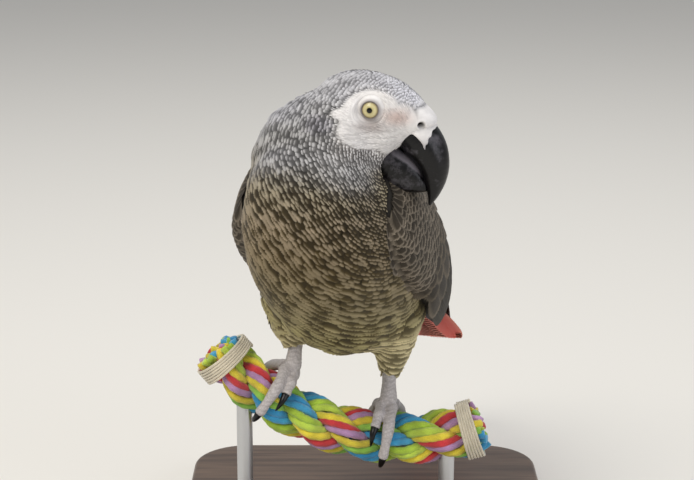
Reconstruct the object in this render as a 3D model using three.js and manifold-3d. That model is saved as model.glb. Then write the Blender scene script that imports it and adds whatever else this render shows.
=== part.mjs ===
// Grey parrot on a cut length of twisted rope, held by a plain two-rod display stand.
// Millimetres, +Z up. The bird leans towards -Y and turns its head to its own left (+X).
// The rope is an arc of a ring that stands in the XZ plane with its lowest centreline point at 0,0,0.
// The whole group is moved at the end so that the origin is in the middle of its box, at the
// height of the base's underside.
import * as THREE from 'three';
import { mergeVertices } from 'three/addons/utils/BufferGeometryUtils.js';
import Module from 'manifold-3d';

const wasm = await Module();
wasm.setup();

// ---------------------------------------------------------------- driving dimensions
const GAP = 0.3;

const ROPE_RING_RADIUS = 103;
const ROPE_RADIUS = 11.7;
const ROPE_STRANDS = 3;
const ROPE_LEAD = 60;
const STRAND_RADIUS = 6.2;
const STRAND_OFFSET = 5.5;
const STRAND_GAP = 0.35;
const ROPE_FROM = -53;
const ROPE_TO = 19;
const WHIPPING_WIDTH = 7;
const WHIPPING_THICKNESS = 1.3;

const BASE_LENGTH_X = 168;
const BASE_LENGTH_Y = 172;
const BASE_CENTRE = { x: -17, y: 28 };
const BASE_TOP = -45;
const BASE_THICKNESS = 14;
const BASE_CORNER = 26;
const BASE_BEVEL = 2;
const ROD_RADIUS = 3.5;
const ROD_ANGLES = { left: -43.5, right: 10.3 };

const SHOULDER = [-34.4, -31, 119];
const TAIL_TIP_AT = 238;
const TAIL_SWAY = 6.5;
const BODY_POWER = 2.15;
const EYE_RADIUS = 5.6;
const EYE_OUT = 17.5;
const EYE_UP = 0.3;

const FLESH_SIDES = 24;

// ---------------------------------------------------------------- frames
const vec = (x, y, z) => new THREE.Vector3(x, y, z);
const rad = (deg) => (deg * Math.PI) / 180;

// A frame has an origin and three unit axes; point(f, a, b, c) adds multiples of the axes.
function frameOf(origin, first, upHint) {
  const x = first.clone().normalize();
  const y = upHint.clone().cross(x).normalize();
  const z = x.clone().cross(y);
  return { origin, x, y, z };
}

function point(f, a, b, c) {
  return f.origin.clone().addScaledVector(f.x, a).addScaledVector(f.y, b).addScaledVector(f.z, c);
}

// Body: x runs from the shoulders to the tail, z through the back; y is the bird's right side.
const BODY = frameOf(vec(...SHOULDER), vec(0.261, 0.812, -0.522), vec(0, 0, 1));
// Behind the wings the body's line swings to the bird's right.
const BODY_BEND_AT = 90;

function bodyAt(at) {
  const share = Math.max(0, at - BODY_BEND_AT) / (TAIL_TIP_AT - BODY_BEND_AT);
  return { ...BODY, origin: point(BODY, 0, TAIL_SWAY * share ** 1.5, 0) };
}

// Head: x runs out along the bill, z through the crown, y is the bird's left side.
const HEAD_YAW = -13;
const HEAD_PITCH = -5;
const HEAD = frameOf(
  vec(-13, -37.4, 156),
  vec(Math.cos(rad(HEAD_YAW)), Math.sin(rad(HEAD_YAW)), Math.sin(rad(HEAD_PITCH))),
  vec(0, 0, 1),
);

// ---------------------------------------------------------------- solids
// Closed surface through rings that all have the same number of points; the ends are fans.
function loft(rings) {
  const count = rings[0].length;
  const positions = [];
  const index = [];
  for (const ring of rings) {
    for (const p of ring) {
      positions.push(p.x, p.y, p.z);
    }
  }
  for (let k = 0; k + 1 < rings.length; k += 1) {
    for (let i = 0; i < count; i += 1) {
      const j = (i + 1) % count;
      const a = k * count + i;
      const b = k * count + j;
      const c = (k + 1) * count + j;
      const d = (k + 1) * count + i;
      index.push(a, b, c, a, c, d);
    }
  }
  for (const end of [0, rings.length - 1]) {
    const centre = rings[end].reduce((sum, p) => sum.add(p), vec(0, 0, 0)).divideScalar(count);
    const middle = positions.length / 3;
    positions.push(centre.x, centre.y, centre.z);
    for (let i = 0; i < count; i += 1) {
      const a = end * count + i;
      const b = end * count + ((i + 1) % count);
      index.push(...(end === 0 ? [middle, b, a] : [middle, a, b]));
    }
  }
  const geometry = new THREE.BufferGeometry();
  geometry.setAttribute('position', new THREE.Float32BufferAttribute(positions, 3));
  geometry.setIndex(index);
  return outward(geometry);
}

// Turns every face over when the enclosed volume comes out negative.
function outward(geometry) {
  const p = geometry.attributes.position;
  const index = geometry.index.array;
  const corner = (i) => vec(p.getX(i), p.getY(i), p.getZ(i));
  let volume = 0;
  for (let t = 0; t < index.length; t += 3) {
    volume += corner(index[t]).dot(corner(index[t + 1]).cross(corner(index[t + 2])));
  }
  if (volume < 0) {
    for (let t = 0; t < index.length; t += 3) {
      [index[t], index[t + 1]] = [index[t + 1], index[t]];
    }
  }
  return geometry;
}

// Ring of a rounded section: half-width to both sides, separate heights above and below.
// The pinch draws the lower half in towards its bottom.
function section(f, at, halfWidth, top, bottom, power = 2, sides = FLESH_SIDES, pinch = 0) {
  const ring = [];
  for (let i = 0; i < sides; i += 1) {
    const angle = (2 * Math.PI * i) / sides;
    const c = Math.cos(angle);
    const s = Math.sin(angle);
    const across = Math.sign(c) * Math.abs(c) ** (2 / power) * halfWidth
      * (1 - pinch * Math.min(0, s) ** 2);
    const middle = (top + bottom) / 2;
    const up = middle + Math.sign(s) * Math.abs(s) ** (2 / power) * ((top - bottom) / 2);
    ring.push(point(f, at, across, up));
  }
  return ring;
}

// Smooth reading of a table of [position, value, value, ...] rows, each step split in pieces.
function smooth(rows, pieces) {
  const out = [];
  for (let k = 0; k + 1 < rows.length; k += 1) {
    const [from, to] = [rows[k][0], rows[k + 1][0]];
    for (let i = 0; i < pieces; i += 1) {
      out.push(readRow(rows, from + ((to - from) * i) / pieces));
    }
  }
  out.push(rows[rows.length - 1]);
  return out;
}

function readRow(rows, at) {
  let k = 0;
  while (k < rows.length - 2 && rows[k + 1][0] < at) {
    k += 1;
  }
  const [a, b] = [rows[k], rows[k + 1]];
  const before = rows[Math.max(0, k - 1)];
  const after = rows[Math.min(rows.length - 1, k + 2)];
  const t = (at - a[0]) / (b[0] - a[0]);
  return a.map((value, column) => {
    if (column === 0) {
      return at;
    }
    const slopeA = ((b[column] - before[column]) / (b[0] - before[0])) * (b[0] - a[0]);
    const slopeB = ((after[column] - value) / (after[0] - a[0])) * (b[0] - a[0]);
    const t2 = t * t;
    const t3 = t2 * t;
    return (2 * t3 - 3 * t2 + 1) * value + (t3 - 2 * t2 + t) * slopeA
      + (-2 * t3 + 3 * t2) * b[column] + (t3 - t2) * slopeB;
  });
}

// Round bar along a list of centres with a radius at each; the ends are rounded off.
function bar(centres, radii, sides, flat = 1) {
  const rings = [];
  const upHint = vec(0.13, 0.41, 0.9);
  const last = centres.length - 1;
  centres.forEach((c, k) => {
    const along = centres[Math.min(last, k + 1)].clone().sub(centres[Math.max(0, k - 1)]);
    const f = frameOf(c, along, upHint);
    const ringAt = (shift, scale) => {
      const ring = [];
      for (let i = 0; i < sides; i += 1) {
        const angle = (2 * Math.PI * i) / sides;
        const r = radii[k] * scale;
        ring.push(point(f, shift, r * Math.cos(angle), r * flat * Math.sin(angle)));
      }
      return ring;
    };
    if (k === 0) {
      rings.push(ringAt(-radii[k] * 0.75, 0.6));
    }
    rings.push(ringAt(0, 1));
    if (k === last) {
      rings.push(ringAt(radii[k] * 0.75, 0.6));
    }
  });
  return loft(rings);
}

// ---------------------------------------------------------------- adding and cutting
function solid(geometry) {
  const bare = geometry.clone();
  bare.deleteAttribute('normal');
  bare.deleteAttribute('uv');
  const merged = mergeVertices(bare, 1e-4);
  const vertProperties = new Float32Array(merged.attributes.position.array);
  const triVerts = new Uint32Array(merged.index.array);
  return new wasm.Manifold(new wasm.Mesh({ numProp: 3, vertProperties, triVerts }));
}

function geometryOf(manifold) {
  const mesh = manifold.getMesh();
  const geometry = new THREE.BufferGeometry();
  geometry.setAttribute('position', new THREE.BufferAttribute(new Float32Array(mesh.vertProperties), 3));
  geometry.setIndex(new THREE.BufferAttribute(new Uint32Array(mesh.triVerts), 1));
  geometry.computeVertexNormals();
  return geometry;
}

const join = (parts) => parts.reduce((sum, part) => sum.add(part));
const cut = (body, tools) => tools.reduce((rest, tool) => rest.subtract(tool), body);

// Block that fills the space on one side of a plane, for parting a body with a thin cut.
function halfSpace(origin, normal, start) {
  const size = 400;
  const f = frameOf(origin, normal, vec(0.1, 0.2, 0.97));
  const corners = (at) => [[-1, -1], [1, -1], [1, 1], [-1, 1]]
    .map(([b, c]) => point(f, at, b * size, c * size));
  return solid(loft([corners(start), corners(start + size)]));
}

// ---------------------------------------------------------------- flesh
// Columns: distance behind the shoulders, half-width, back above the axis, breast below it.
const TRUNK_ROWS = [
  [-41.5, 4, -3, -11],
  [-39, 11, 5, -19],
  [-34, 18.5, 12, -29],
  [-25, 25, 18.5, -39],
  [-14, 29.5, 23, -47],
  [0, 32.5, 25.5, -52.5],
  [20, 34.2, 26.5, -55.5],
  [40, 34.6, 26.5, -57],
  [60, 34, 25.5, -54.2],
  [80, 31.5, 23, -46.8],
  [100, 26.5, 19.5, -34],
  [120, 20.5, 15.5, -23],
  [138, 14.5, 11, -13.5],
  [150, 8, 7, -6.5],
];

function trunkSolid(grow) {
  const rings = smooth(TRUNK_ROWS, 1)
    .map(([at, w, top, bottom]) => section(bodyAt(at), at, w + grow, top + grow, bottom - grow, BODY_POWER));
  return solid(loft(rings));
}

// Columns: distance along the bill axis from the eye, half-width, crown, throat, squareness.
const HEAD_ROWS = [
  [-26, 8, 3, -14, 2],
  [-22, 13, 8.2, -22, 2.1],
  [-15, 16.5, 12.2, -28, 2.1],
  [-8, 17.8, 13.3, -30.5, 2.2],
  [-1, 17.7, 12.9, -30.5, 2.3],
  [4, 16.9, 12, -28.5, 2.4],
  [8, 15.5, 10.2, -21, 2.8],
  [11, 13.8, 8.3, -16.2, 2.8],
  [15, 11.9, 5.6, -12.4, 2.6],
  [19.5, 9.4, 2.1, -9.8, 2.4],
  [23, 6.4, -1.6, -8.4, 2.2],
  [24.6, 3.2, -3.6, -6.8, 2],
];
const THROAT_PINCH = 0.3;

function headSolid(grow) {
  const rings = smooth(HEAD_ROWS, 1)
    .map(([at, w, top, bottom, power]) => section(
      HEAD, at, w + grow, top + grow, bottom - grow, power, FLESH_SIDES, THROAT_PINCH,
    ));
  return solid(loft(rings));
}

// Columns: height, centre x, centre y, half-width, half-depth of the ruffled neck.
const NECK_ROWS = [
  [98, -36.5, -28, 30, 33],
  [110, -36, -30, 30, 35],
  [122, -36, -31.5, 28.8, 34.5],
  [134, -36.5, -31.5, 28.7, 32.5],
  [143, -35.2, -32.5, 26.4, 29],
  [151, -31.7, -33.5, 25.4, 25],
  [158, -26, -35, 20, 19],
  [164, -22, -36, 11.5, 11.5],
];

function neckSolid(grow) {
  const rings = smooth(NECK_ROWS, 1).map(([z, x, y, w, d]) => {
    const f = { origin: vec(x, y, z), x: vec(0, 0, 1), y: vec(1, 0, 0), z: vec(0, 1, 0) };
    return section(f, 0, w + grow, d + grow, -d - grow, 2);
  });
  return solid(loft(rings));
}

// Feathered thigh from inside the belly to the cuff above the foot.
function thighSolid(centres, radii, grow) {
  return solid(bar(centres, radii.map((r) => r + grow), 16));
}

const THIGHS = {
  right: {
    centres: [vec(-44, -6, 78), vec(-47, -4, 65), vec(-48.5, 0, 54), vec(-49.5, 3, 44)],
    radii: [20, 17.5, 11.5, 5.8],
  },
  left: {
    centres: [vec(-10, -4, 70), vec(-7, 0, 55), vec(-5, 4, 42), vec(-6.5, 4, 29)],
    radii: [18, 15.5, 9.6, 5.2],
  },
};

// ---------------------------------------------------------------- wings and tail
// Columns: distance behind the shoulders, reach to the side, back, belly, lower edge angle,
// upper edge angle, thickness. The first four follow the trunk from outside.
const WING_ROWS = [
  [-10, 33, 23, -44, 2, 28, 3.5],
  [-5, 36.5, 26, -51, -8, 48, 6],
  [4, 39.6, 29.5, -56, -16, 64, 8],
  [22, 41, 31, -59.5, -20, 70, 9],
  [50, 41, 31, -58, -22, 73, 9],
  [80, 37.5, 28, -50, -30, 75, 8],
  [110, 31.5, 23.5, -40, -31, 77, 6.5],
  [138, 24.5, 17.5, -23, -18, 78, 5],
  [170, 18.5, 13, -10, 8, 78, 4],
  [200, 14, 10.5, -4, 20, 76, 3.2],
  [222, 11, 9, -3, 32, 72, 2.4],
  [232, 9.5, 8, -3, 42, 66, 1.4],
];
const WING_FLIGHT_FROM = 96;

function wingSolid(side) {
  const steps = 8;
  const rings = smooth(WING_ROWS, 1).map(([at, reach, back, belly, low, high, thick]) => {
    const middle = (back + belly) / 2;
    const half = (back - belly) / 2;
    const arc = (t, inset) => {
      const angle = rad(low + (high - low) * t);
      const out = Math.cos(angle) ** (2 / BODY_POWER);
      const up = Math.sign(angle) * Math.abs(Math.sin(angle)) ** (2 / BODY_POWER);
      return point(bodyAt(at), at, -side * (reach - inset) * out, middle + (half - inset) * up);
    };
    const ring = [];
    for (let i = 0; i <= steps; i += 1) {
      const t = i / steps;
      ring.push(arc(t, thick * 0.35 * (1 - Math.max(0, Math.sin(Math.PI * t)) ** 0.35)));
    }
    for (let i = steps; i >= 0; i -= 1) {
      ring.push(arc(i / steps, thick));
    }
    return ring;
  });
  return solid(loft(rings));
}

// Columns: distance behind the shoulders, half-width, upper face, lower face.
const TAIL_ROWS = [
  [118, 9, 7, -8],
  [140, 12, 8, -7],
  [165, 13, 5.5, -4.5],
  [190, 13.6, 3.8, -3],
  [215, 14.2, 2.6, -1.8],
  [231, 13.4, 1.8, -1],
  [TAIL_TIP_AT, 9.5, 1, -0.6],
];

function tailSolid(grow) {
  const rings = smooth(TAIL_ROWS, 1)
    .map(([at, w, top, bottom]) => section(bodyAt(at), at, w + grow, top + grow, bottom - grow, 2.4, 16));
  return solid(loft(rings));
}

// ---------------------------------------------------------------- bill and eyes
// Columns: step, ridge forward, ridge up, edge forward, edge up, half-width, in the head's frame.
const UPPER_BILL_ROWS = [
  [0, 21.5, -3.6, 10.8, -15.6, 9.2],
  [1, 25.8, -7.6, 13.6, -18.8, 9.2],
  [2, 29.4, -13.6, 17.2, -22, 8],
  [3, 31.1, -21, 20.3, -26, 6.4],
  [4, 30.5, -27.8, 22.2, -30.2, 4.6],
  [5, 28.2, -34, 23.7, -34.6, 2.6],
  [6, 25.3, -38.7, 24.2, -38.2, 0.9],
];
const LOWER_BILL_ROWS = [
  [0, 7.6, -15, 2.4, -28, 9.2],
  [1, 12, -16.6, 7.6, -32.6, 9.1],
  [2, 16.8, -19.8, 13.6, -33.9, 7.9],
  [3, 20.4, -24, 19, -33.9, 6],
  [4, 22.8, -28.4, 23.4, -32.9, 3.6],
];

function billSolid(rows, grow) {
  const rings = smooth(rows, 1).map(([, ridgeX, ridgeZ, edgeX, edgeZ, half]) => {
    const middle = point(HEAD, (ridgeX + edgeX) / 2, 0, (ridgeZ + edgeZ) / 2);
    const up = point(HEAD, ridgeX, 0, ridgeZ).sub(point(HEAD, edgeX, 0, edgeZ));
    const height = up.length() / 2 + grow;
    const f = { origin: middle, x: HEAD.x, y: HEAD.y, z: up.normalize() };
    return section(f, 0, half + grow, height, -height, 2.5, 16);
  });
  return solid(loft(rings));
}

function eyeSolid(side, grow) {
  const geometry = new THREE.SphereGeometry(EYE_RADIUS + grow, 12, 8);
  const centre = point(HEAD, 0, side * (EYE_OUT - EYE_RADIUS), EYE_UP);
  geometry.translate(centre.x, centre.y, centre.z);
  return solid(geometry);
}

// ---------------------------------------------------------------- rope, feet and claws
// Point round the rope: angle along the ring, angle over the front from the inner side, distance.
function ropePoint(along, over, distance) {
  const inner = vec(-Math.sin(rad(along)), 0, Math.cos(rad(along)));
  const centre = vec(
    ROPE_RING_RADIUS * Math.sin(rad(along)),
    0,
    ROPE_RING_RADIUS * (1 - Math.cos(rad(along))),
  );
  return centre
    .addScaledVector(inner, distance * Math.cos(rad(over)))
    .addScaledVector(vec(0, -1, 0), distance * Math.sin(rad(over)));
}

// One strand fills its share of the round rope, with a thin gap to its neighbours.
function strandGeometry(number) {
  const steps = 22;
  const sides = 8;
  const wedge = Math.PI / ROPE_STRANDS;
  const rings = [];
  for (let k = 0; k <= steps; k += 1) {
    const along = ROPE_FROM + ((ROPE_TO - ROPE_FROM) * k) / steps;
    const travelled = rad(along) * ROPE_RING_RADIUS;
    const turn = (360 * number) / ROPE_STRANDS + (360 * travelled) / ROPE_LEAD;
    const ring = [];
    for (let i = 0; i < sides; i += 1) {
      const angle = (2 * Math.PI * (i + 0.5)) / sides;
      const slope = Math.abs(Math.sin(angle)) * Math.cos(wedge) - Math.cos(angle) * Math.sin(wedge);
      const room = STRAND_OFFSET * Math.sin(wedge) - STRAND_GAP / 2;
      const reach = slope > 0 ? Math.min(STRAND_RADIUS, room / slope) : STRAND_RADIUS;
      const out = STRAND_OFFSET + reach * Math.cos(angle);
      const across = reach * Math.sin(angle);
      const over = turn + (Math.atan2(across, out) * 180) / Math.PI;
      ring.push(ropePoint(along, over, Math.hypot(across, out)));
    }
    rings.push(ring);
  }
  return loft(rings);
}

function whippingGeometry(from, to) {
  const rings = [];
  const inner = ROPE_RADIUS + 0.25;
  const profile = [[0, inner], [0, inner + 1], [0.1, inner + WHIPPING_THICKNESS],
    [0.9, inner + WHIPPING_THICKNESS], [1, inner + 1], [1, inner]];
  const steps = 14;
  const positions = [];
  const index = [];
  for (let i = 0; i < steps; i += 1) {
    for (const [t, distance] of profile) {
      const p = ropePoint(from + (to - from) * t, (360 * i) / steps, distance);
      positions.push(p.x, p.y, p.z);
    }
  }
  const n = profile.length;
  for (let i = 0; i < steps; i += 1) {
    for (let k = 0; k < n; k += 1) {
      const a = i * n + k;
      const b = i * n + ((k + 1) % n);
      const c = ((i + 1) % steps) * n + ((k + 1) % n);
      const d = ((i + 1) % steps) * n + k;
      index.push(a, b, c, a, c, d);
    }
  }
  const geometry = new THREE.BufferGeometry();
  geometry.setAttribute('position', new THREE.Float32BufferAttribute(positions, 3));
  geometry.setIndex(index);
  return outward(geometry);
}

// Toes: sideways start and end along the rope in mm, angle over the rope where the pad ends.
const TOE_RADIUS = 2.8;
const CLAW_START = 13;
const CLAW_SWEEP = 40;
const FEET = {
  right: {
    along: -35.5,
    ankle: vec(-47.6, 3, 46),
    toes: {
      outer_front: { start: -2.4, end: -1.5, reach: 104, side: 1 },
      inner_front: { start: 2.6, end: 3.4, reach: 50, side: 1 },
      outer_hind: { start: -2.4, end: -9, reach: 94, side: -1 },
      inner_hind: { start: 2.4, end: 6, reach: 56, side: -1 },
    },
  },
  left: {
    along: -5,
    ankle: vec(-7, 4, 31),
    toes: {
      outer_front: { start: 2, end: -0.6, reach: 104, side: 1 },
      inner_front: { start: -2.8, end: -5.6, reach: 52, side: 1 },
      outer_hind: { start: 2.4, end: 10, reach: 94, side: -1 },
      inner_hind: { start: -2.4, end: -6, reach: 56, side: -1 },
    },
  },
};

function toePath(foot, toe, from, to, steps, radiusAt) {
  const centres = [];
  for (let k = 0; k <= steps; k += 1) {
    const over = from + ((to - from) * k) / steps;
    const share = Math.min(1.3, over / toe.reach);
    const sideways = toe.start + (toe.end - toe.start) * share;
    const along = foot.along + (sideways / ROPE_RING_RADIUS) * (180 / Math.PI);
    centres.push(ropePoint(along, toe.side * over, ROPE_RADIUS + radiusAt(k / steps) + 0.3));
  }
  return centres;
}

function toeSolid(foot, toe) {
  const steps = 5;
  const radiusAt = (t) => TOE_RADIUS - 0.7 * t + 0.2 * Math.cos(t * 4 * Math.PI);
  const centres = toePath(foot, toe, 6, toe.reach, steps, radiusAt);
  return solid(bar(centres, centres.map((_, k) => radiusAt(k / steps)), 7));
}

function clawGeometry(foot, toe) {
  const steps = 4;
  const radiusAt = (t) => 1.5 - 1.05 * t;
  const lift = (t) => 2.1 + 1.2 * Math.sin(Math.PI * t) - 1.2 * t;
  const centres = toePath(foot, toe, toe.reach + CLAW_START, toe.reach + CLAW_SWEEP, steps, lift);
  return bar(centres, centres.map((_, k) => radiusAt(k / steps)), 6);
}

function footSolid(foot) {
  const hub = ropePoint(foot.along, 0, ROPE_RADIUS + TOE_RADIUS + 0.9);
  const knuckle = ropePoint(foot.along, 0, ROPE_RADIUS + TOE_RADIUS + 3.4);
  const middle = knuckle.clone().lerp(foot.ankle, 0.5);
  const tarsus = solid(bar([hub, knuckle, middle, foot.ankle], [3.3, 3.9, 3.2, 3.1], 9));
  return join([tarsus, ...Object.values(foot.toes).map((toe) => toeSolid(foot, toe))]);
}

// ---------------------------------------------------------------- stand
function standBase() {
  const x = BASE_LENGTH_X / 2 - BASE_BEVEL;
  const y = BASE_LENGTH_Y / 2 - BASE_BEVEL;
  const r = BASE_CORNER - BASE_BEVEL;
  const shape = new THREE.Shape();
  shape.moveTo(-x + r, -y);
  shape.lineTo(x - r, -y);
  shape.absarc(x - r, -y + r, r, -Math.PI / 2, 0, false);
  shape.lineTo(x, y - r);
  shape.absarc(x - r, y - r, r, 0, Math.PI / 2, false);
  shape.lineTo(-x + r, y);
  shape.absarc(-x + r, y - r, r, Math.PI / 2, Math.PI, false);
  shape.lineTo(-x, -y + r);
  shape.absarc(-x + r, -y + r, r, Math.PI, 1.5 * Math.PI, false);
  const geometry = new THREE.ExtrudeGeometry(shape, {
    depth: BASE_THICKNESS - 2 * BASE_BEVEL,
    bevelEnabled: true,
    bevelThickness: BASE_BEVEL,
    bevelSize: BASE_BEVEL,
    bevelSegments: 1,
    curveSegments: 4,
  });
  geometry.translate(BASE_CENTRE.x, BASE_CENTRE.y, BASE_TOP - BASE_THICKNESS + BASE_BEVEL);
  return geometry;
}

function ropeEnvelope() {
  const steps = 30;
  const sides = 24;
  const rings = [];
  for (let k = 0; k <= steps; k += 1) {
    const along = ROPE_FROM - 4 + ((ROPE_TO - ROPE_FROM + 8) * k) / steps;
    const ring = [];
    for (let i = 0; i < sides; i += 1) {
      ring.push(ropePoint(along, (360 * i) / sides, ROPE_RADIUS + 0.12));
    }
    rings.push(ring);
  }
  return solid(loft(rings));
}

function standRod(angle) {
  const x = ROPE_RING_RADIUS * Math.sin(rad(angle));
  const top = ROPE_RING_RADIUS * (1 - Math.cos(rad(angle)));
  const bottom = BASE_TOP + 0.05;
  const geometry = new THREE.CylinderGeometry(ROD_RADIUS, ROD_RADIUS, top - bottom, 16);
  geometry.rotateX(Math.PI / 2);
  geometry.translate(x, 0, (top + bottom) / 2);
  return solid(geometry).subtract(ropeEnvelope());
}

// ---------------------------------------------------------------- assembly
const parrot = new THREE.Group();
parrot.name = 'grey_parrot';

function addPart(name, geometry, colour, roughness, metalness = 0) {
  geometry.computeVertexNormals();
  const material = new THREE.MeshStandardMaterial({ color: colour, roughness, metalness });
  const mesh = new THREE.Mesh(geometry, material);
  mesh.name = name;
  parrot.add(mesh);
}

const SIDES = { right: -1, left: 1 };
const neckCutAt = point(HEAD, -11, 0, -14);
const neckCutNormal = vec(0.62, -0.22, 0.5);
const trunkCutAt = vec(-33, -31, 121);
const trunkCutNormal = vec(0.05, -0.5, 0.86);

const thigh = (name, grow) => thighSolid(THIGHS[name].centres, THIGHS[name].radii, grow);
const feet = Object.fromEntries(Object.keys(FEET).map((name) => [name, footSolid(FEET[name])]));
const tail = cut(tailSolid(0), [trunkSolid(GAP)]);

const flesh = join([trunkSolid(0), neckSolid(0), headSolid(0), thigh('right', 0), thigh('left', 0)]);
const bareFlesh = cut(flesh, [
  billSolid(UPPER_BILL_ROWS, GAP),
  billSolid(LOWER_BILL_ROWS, GAP),
  eyeSolid(1, GAP),
  eyeSolid(-1, GAP),
]);

const head = bareFlesh.intersect(halfSpace(neckCutAt, neckCutNormal, GAP / 2));
const behindHead = bareFlesh.subtract(halfSpace(neckCutAt, neckCutNormal, -GAP / 2));
const neck = behindHead.intersect(halfSpace(trunkCutAt, trunkCutNormal, GAP / 2));
const below = behindHead.subtract(halfSpace(trunkCutAt, trunkCutNormal, -GAP / 2));

addPart('head', geometryOf(head), 0xb9b8b6, 0.85);
addPart('neck', geometryOf(neck), 0x8d8c8a, 0.85);

const thighCutAt = vec(-24, 3, 51);
const thighCutNormal = vec(0.02, -0.3, -0.95);
const legSpace = halfSpace(thighCutAt, thighCutNormal, GAP / 2);
const legSpaceWide = halfSpace(thighCutAt, thighCutNormal, -GAP / 2);
const legs = Object.fromEntries(Object.keys(FEET).map((name) => {
  const leg = thigh(name, 0).intersect(legSpace);
  return [name, cut(leg, [feet[name]])];
}));
const thighTools = Object.keys(FEET).map((name) => thigh(name, GAP).intersect(legSpaceWide));
addPart('trunk', geometryOf(cut(below, thighTools)), 0x7d776e, 0.85);

for (const [name, side] of Object.entries(SIDES)) {
  const wing = cut(wingSolid(side), [
    trunkSolid(GAP),
    neckSolid(GAP),
    headSolid(GAP),
    tailSolid(GAP),
    thigh('right', GAP),
    thigh('left', GAP),
    billSolid(LOWER_BILL_ROWS, 1),
    billSolid(UPPER_BILL_ROWS, 1),
  ]);
  const flight = point(BODY, WING_FLIGHT_FROM, 0, 0);
  addPart(`wing_${name}`, geometryOf(wing.subtract(halfSpace(flight, BODY.x, -GAP / 2))), 0x6d6c6c, 0.8);
  addPart(`flight_${name}`, geometryOf(wing.intersect(halfSpace(flight, BODY.x, GAP / 2))), 0x4a4a4c, 0.7);
  addPart(`eye_${name}`, geometryOf(eyeSolid(side, 0)), 0xe6dba0, 0.15);
  addPart(`thigh_${name}`, geometryOf(legs[name]), 0x8a8479, 0.85);
  const foot = FEET[name];
  addPart(`foot_${name}`, geometryOf(feet[name]), 0x8f8b88, 0.7);
  for (const [toeName, toe] of Object.entries(foot.toes)) {
    addPart(`claw_${name}_${toeName}`, clawGeometry(foot, toe), 0x1d1c1e, 0.35);
  }
}

addPart('tail', geometryOf(tail), 0xb4342c, 0.75);
addPart('bill_upper', geometryOf(billSolid(UPPER_BILL_ROWS, 0)), 0x222124, 0.35);
addPart('bill_lower', geometryOf(cut(billSolid(LOWER_BILL_ROWS, 0), [
  billSolid(UPPER_BILL_ROWS, GAP),
])), 0x29282a, 0.4);

for (let number = 0; number < ROPE_STRANDS; number += 1) {
  const colour = [0x9fc93a, 0xe8d23a, 0x2f9fc4][number];
  addPart(`perch_strand_${number + 1}`, strandGeometry(number), colour, 0.9);
}
const whippingAngle = (WHIPPING_WIDTH / ROPE_RING_RADIUS) * (180 / Math.PI);
addPart('perch_whipping_left', whippingGeometry(ROPE_FROM + 1, ROPE_FROM + 1 + whippingAngle), 0xd8cfba, 0.9);
addPart('perch_whipping_right', whippingGeometry(ROPE_TO - 1 - whippingAngle, ROPE_TO - 1), 0xd8cfba, 0.9);

addPart('stand_base', standBase(), 0x4b4744, 0.5);
for (const [name, angle] of Object.entries(ROD_ANGLES)) {
  addPart(`stand_rod_${name}`, geometryOf(standRod(angle)), 0x8c8f92, 0.3, 1);
}

const whole = new THREE.Box3().setFromObject(parrot);
const middle = whole.getCenter(vec(0, 0, 0));
parrot.children.forEach((mesh) => {
  mesh.geometry.translate(-middle.x, -middle.y, -whole.min.z);
});

export default parrot;
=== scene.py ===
"""Grey parrot that grips a cut length of laid cotton rope, held by a plain display stand.

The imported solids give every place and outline. Sizes here are millimetres, and only the last
step of making a mesh turns them to metres. One skin replaces the solids of flesh and lies under
them by the depth of the coat; closed vanes in rows from bill to tail rise from it to their surface.
"""
import logging
import math
from dataclasses import dataclass, field
from enum import Enum
from typing import Callable, Sequence

import bmesh
import bpy
import numpy as np
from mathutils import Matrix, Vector
from mathutils.bvhtree import BVHTree


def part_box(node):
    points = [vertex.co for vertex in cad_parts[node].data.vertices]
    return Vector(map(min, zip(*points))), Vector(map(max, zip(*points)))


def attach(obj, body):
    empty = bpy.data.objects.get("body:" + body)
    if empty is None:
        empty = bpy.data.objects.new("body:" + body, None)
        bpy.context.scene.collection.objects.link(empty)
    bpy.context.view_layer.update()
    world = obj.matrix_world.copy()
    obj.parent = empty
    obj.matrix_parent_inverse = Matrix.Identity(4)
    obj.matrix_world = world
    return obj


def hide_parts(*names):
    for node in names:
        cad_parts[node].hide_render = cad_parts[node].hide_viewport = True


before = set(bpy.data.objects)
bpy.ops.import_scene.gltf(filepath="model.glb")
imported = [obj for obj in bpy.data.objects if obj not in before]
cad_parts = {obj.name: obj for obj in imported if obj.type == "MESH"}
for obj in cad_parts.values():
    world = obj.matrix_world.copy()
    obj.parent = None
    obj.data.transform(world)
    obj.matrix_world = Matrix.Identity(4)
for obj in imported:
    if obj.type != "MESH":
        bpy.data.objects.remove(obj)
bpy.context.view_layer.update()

LOG = logging.getLogger("grey_parrot")
Array = np.ndarray
Colour = tuple[float, float, float]
Material = bpy.types.Material
Tree = bpy.types.NodeTree
Node = bpy.types.Node
Rng = np.random.Generator
MM = 0.001
SEED = 20417
BAKE_MAP = "OFBake"
BAKE_PATCH = 0.003


# --- colour and nodes
def linear(hex_colour: str) -> Colour:
    """Turns an sRGB hex colour to linear light."""
    parts = [int(hex_colour[i:i + 2], 16) / 255 for i in (1, 3, 5)]
    return tuple(p / 12.92 if p <= 0.04045 else ((p + 0.055) / 1.055) ** 2.4 for p in parts)


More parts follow.
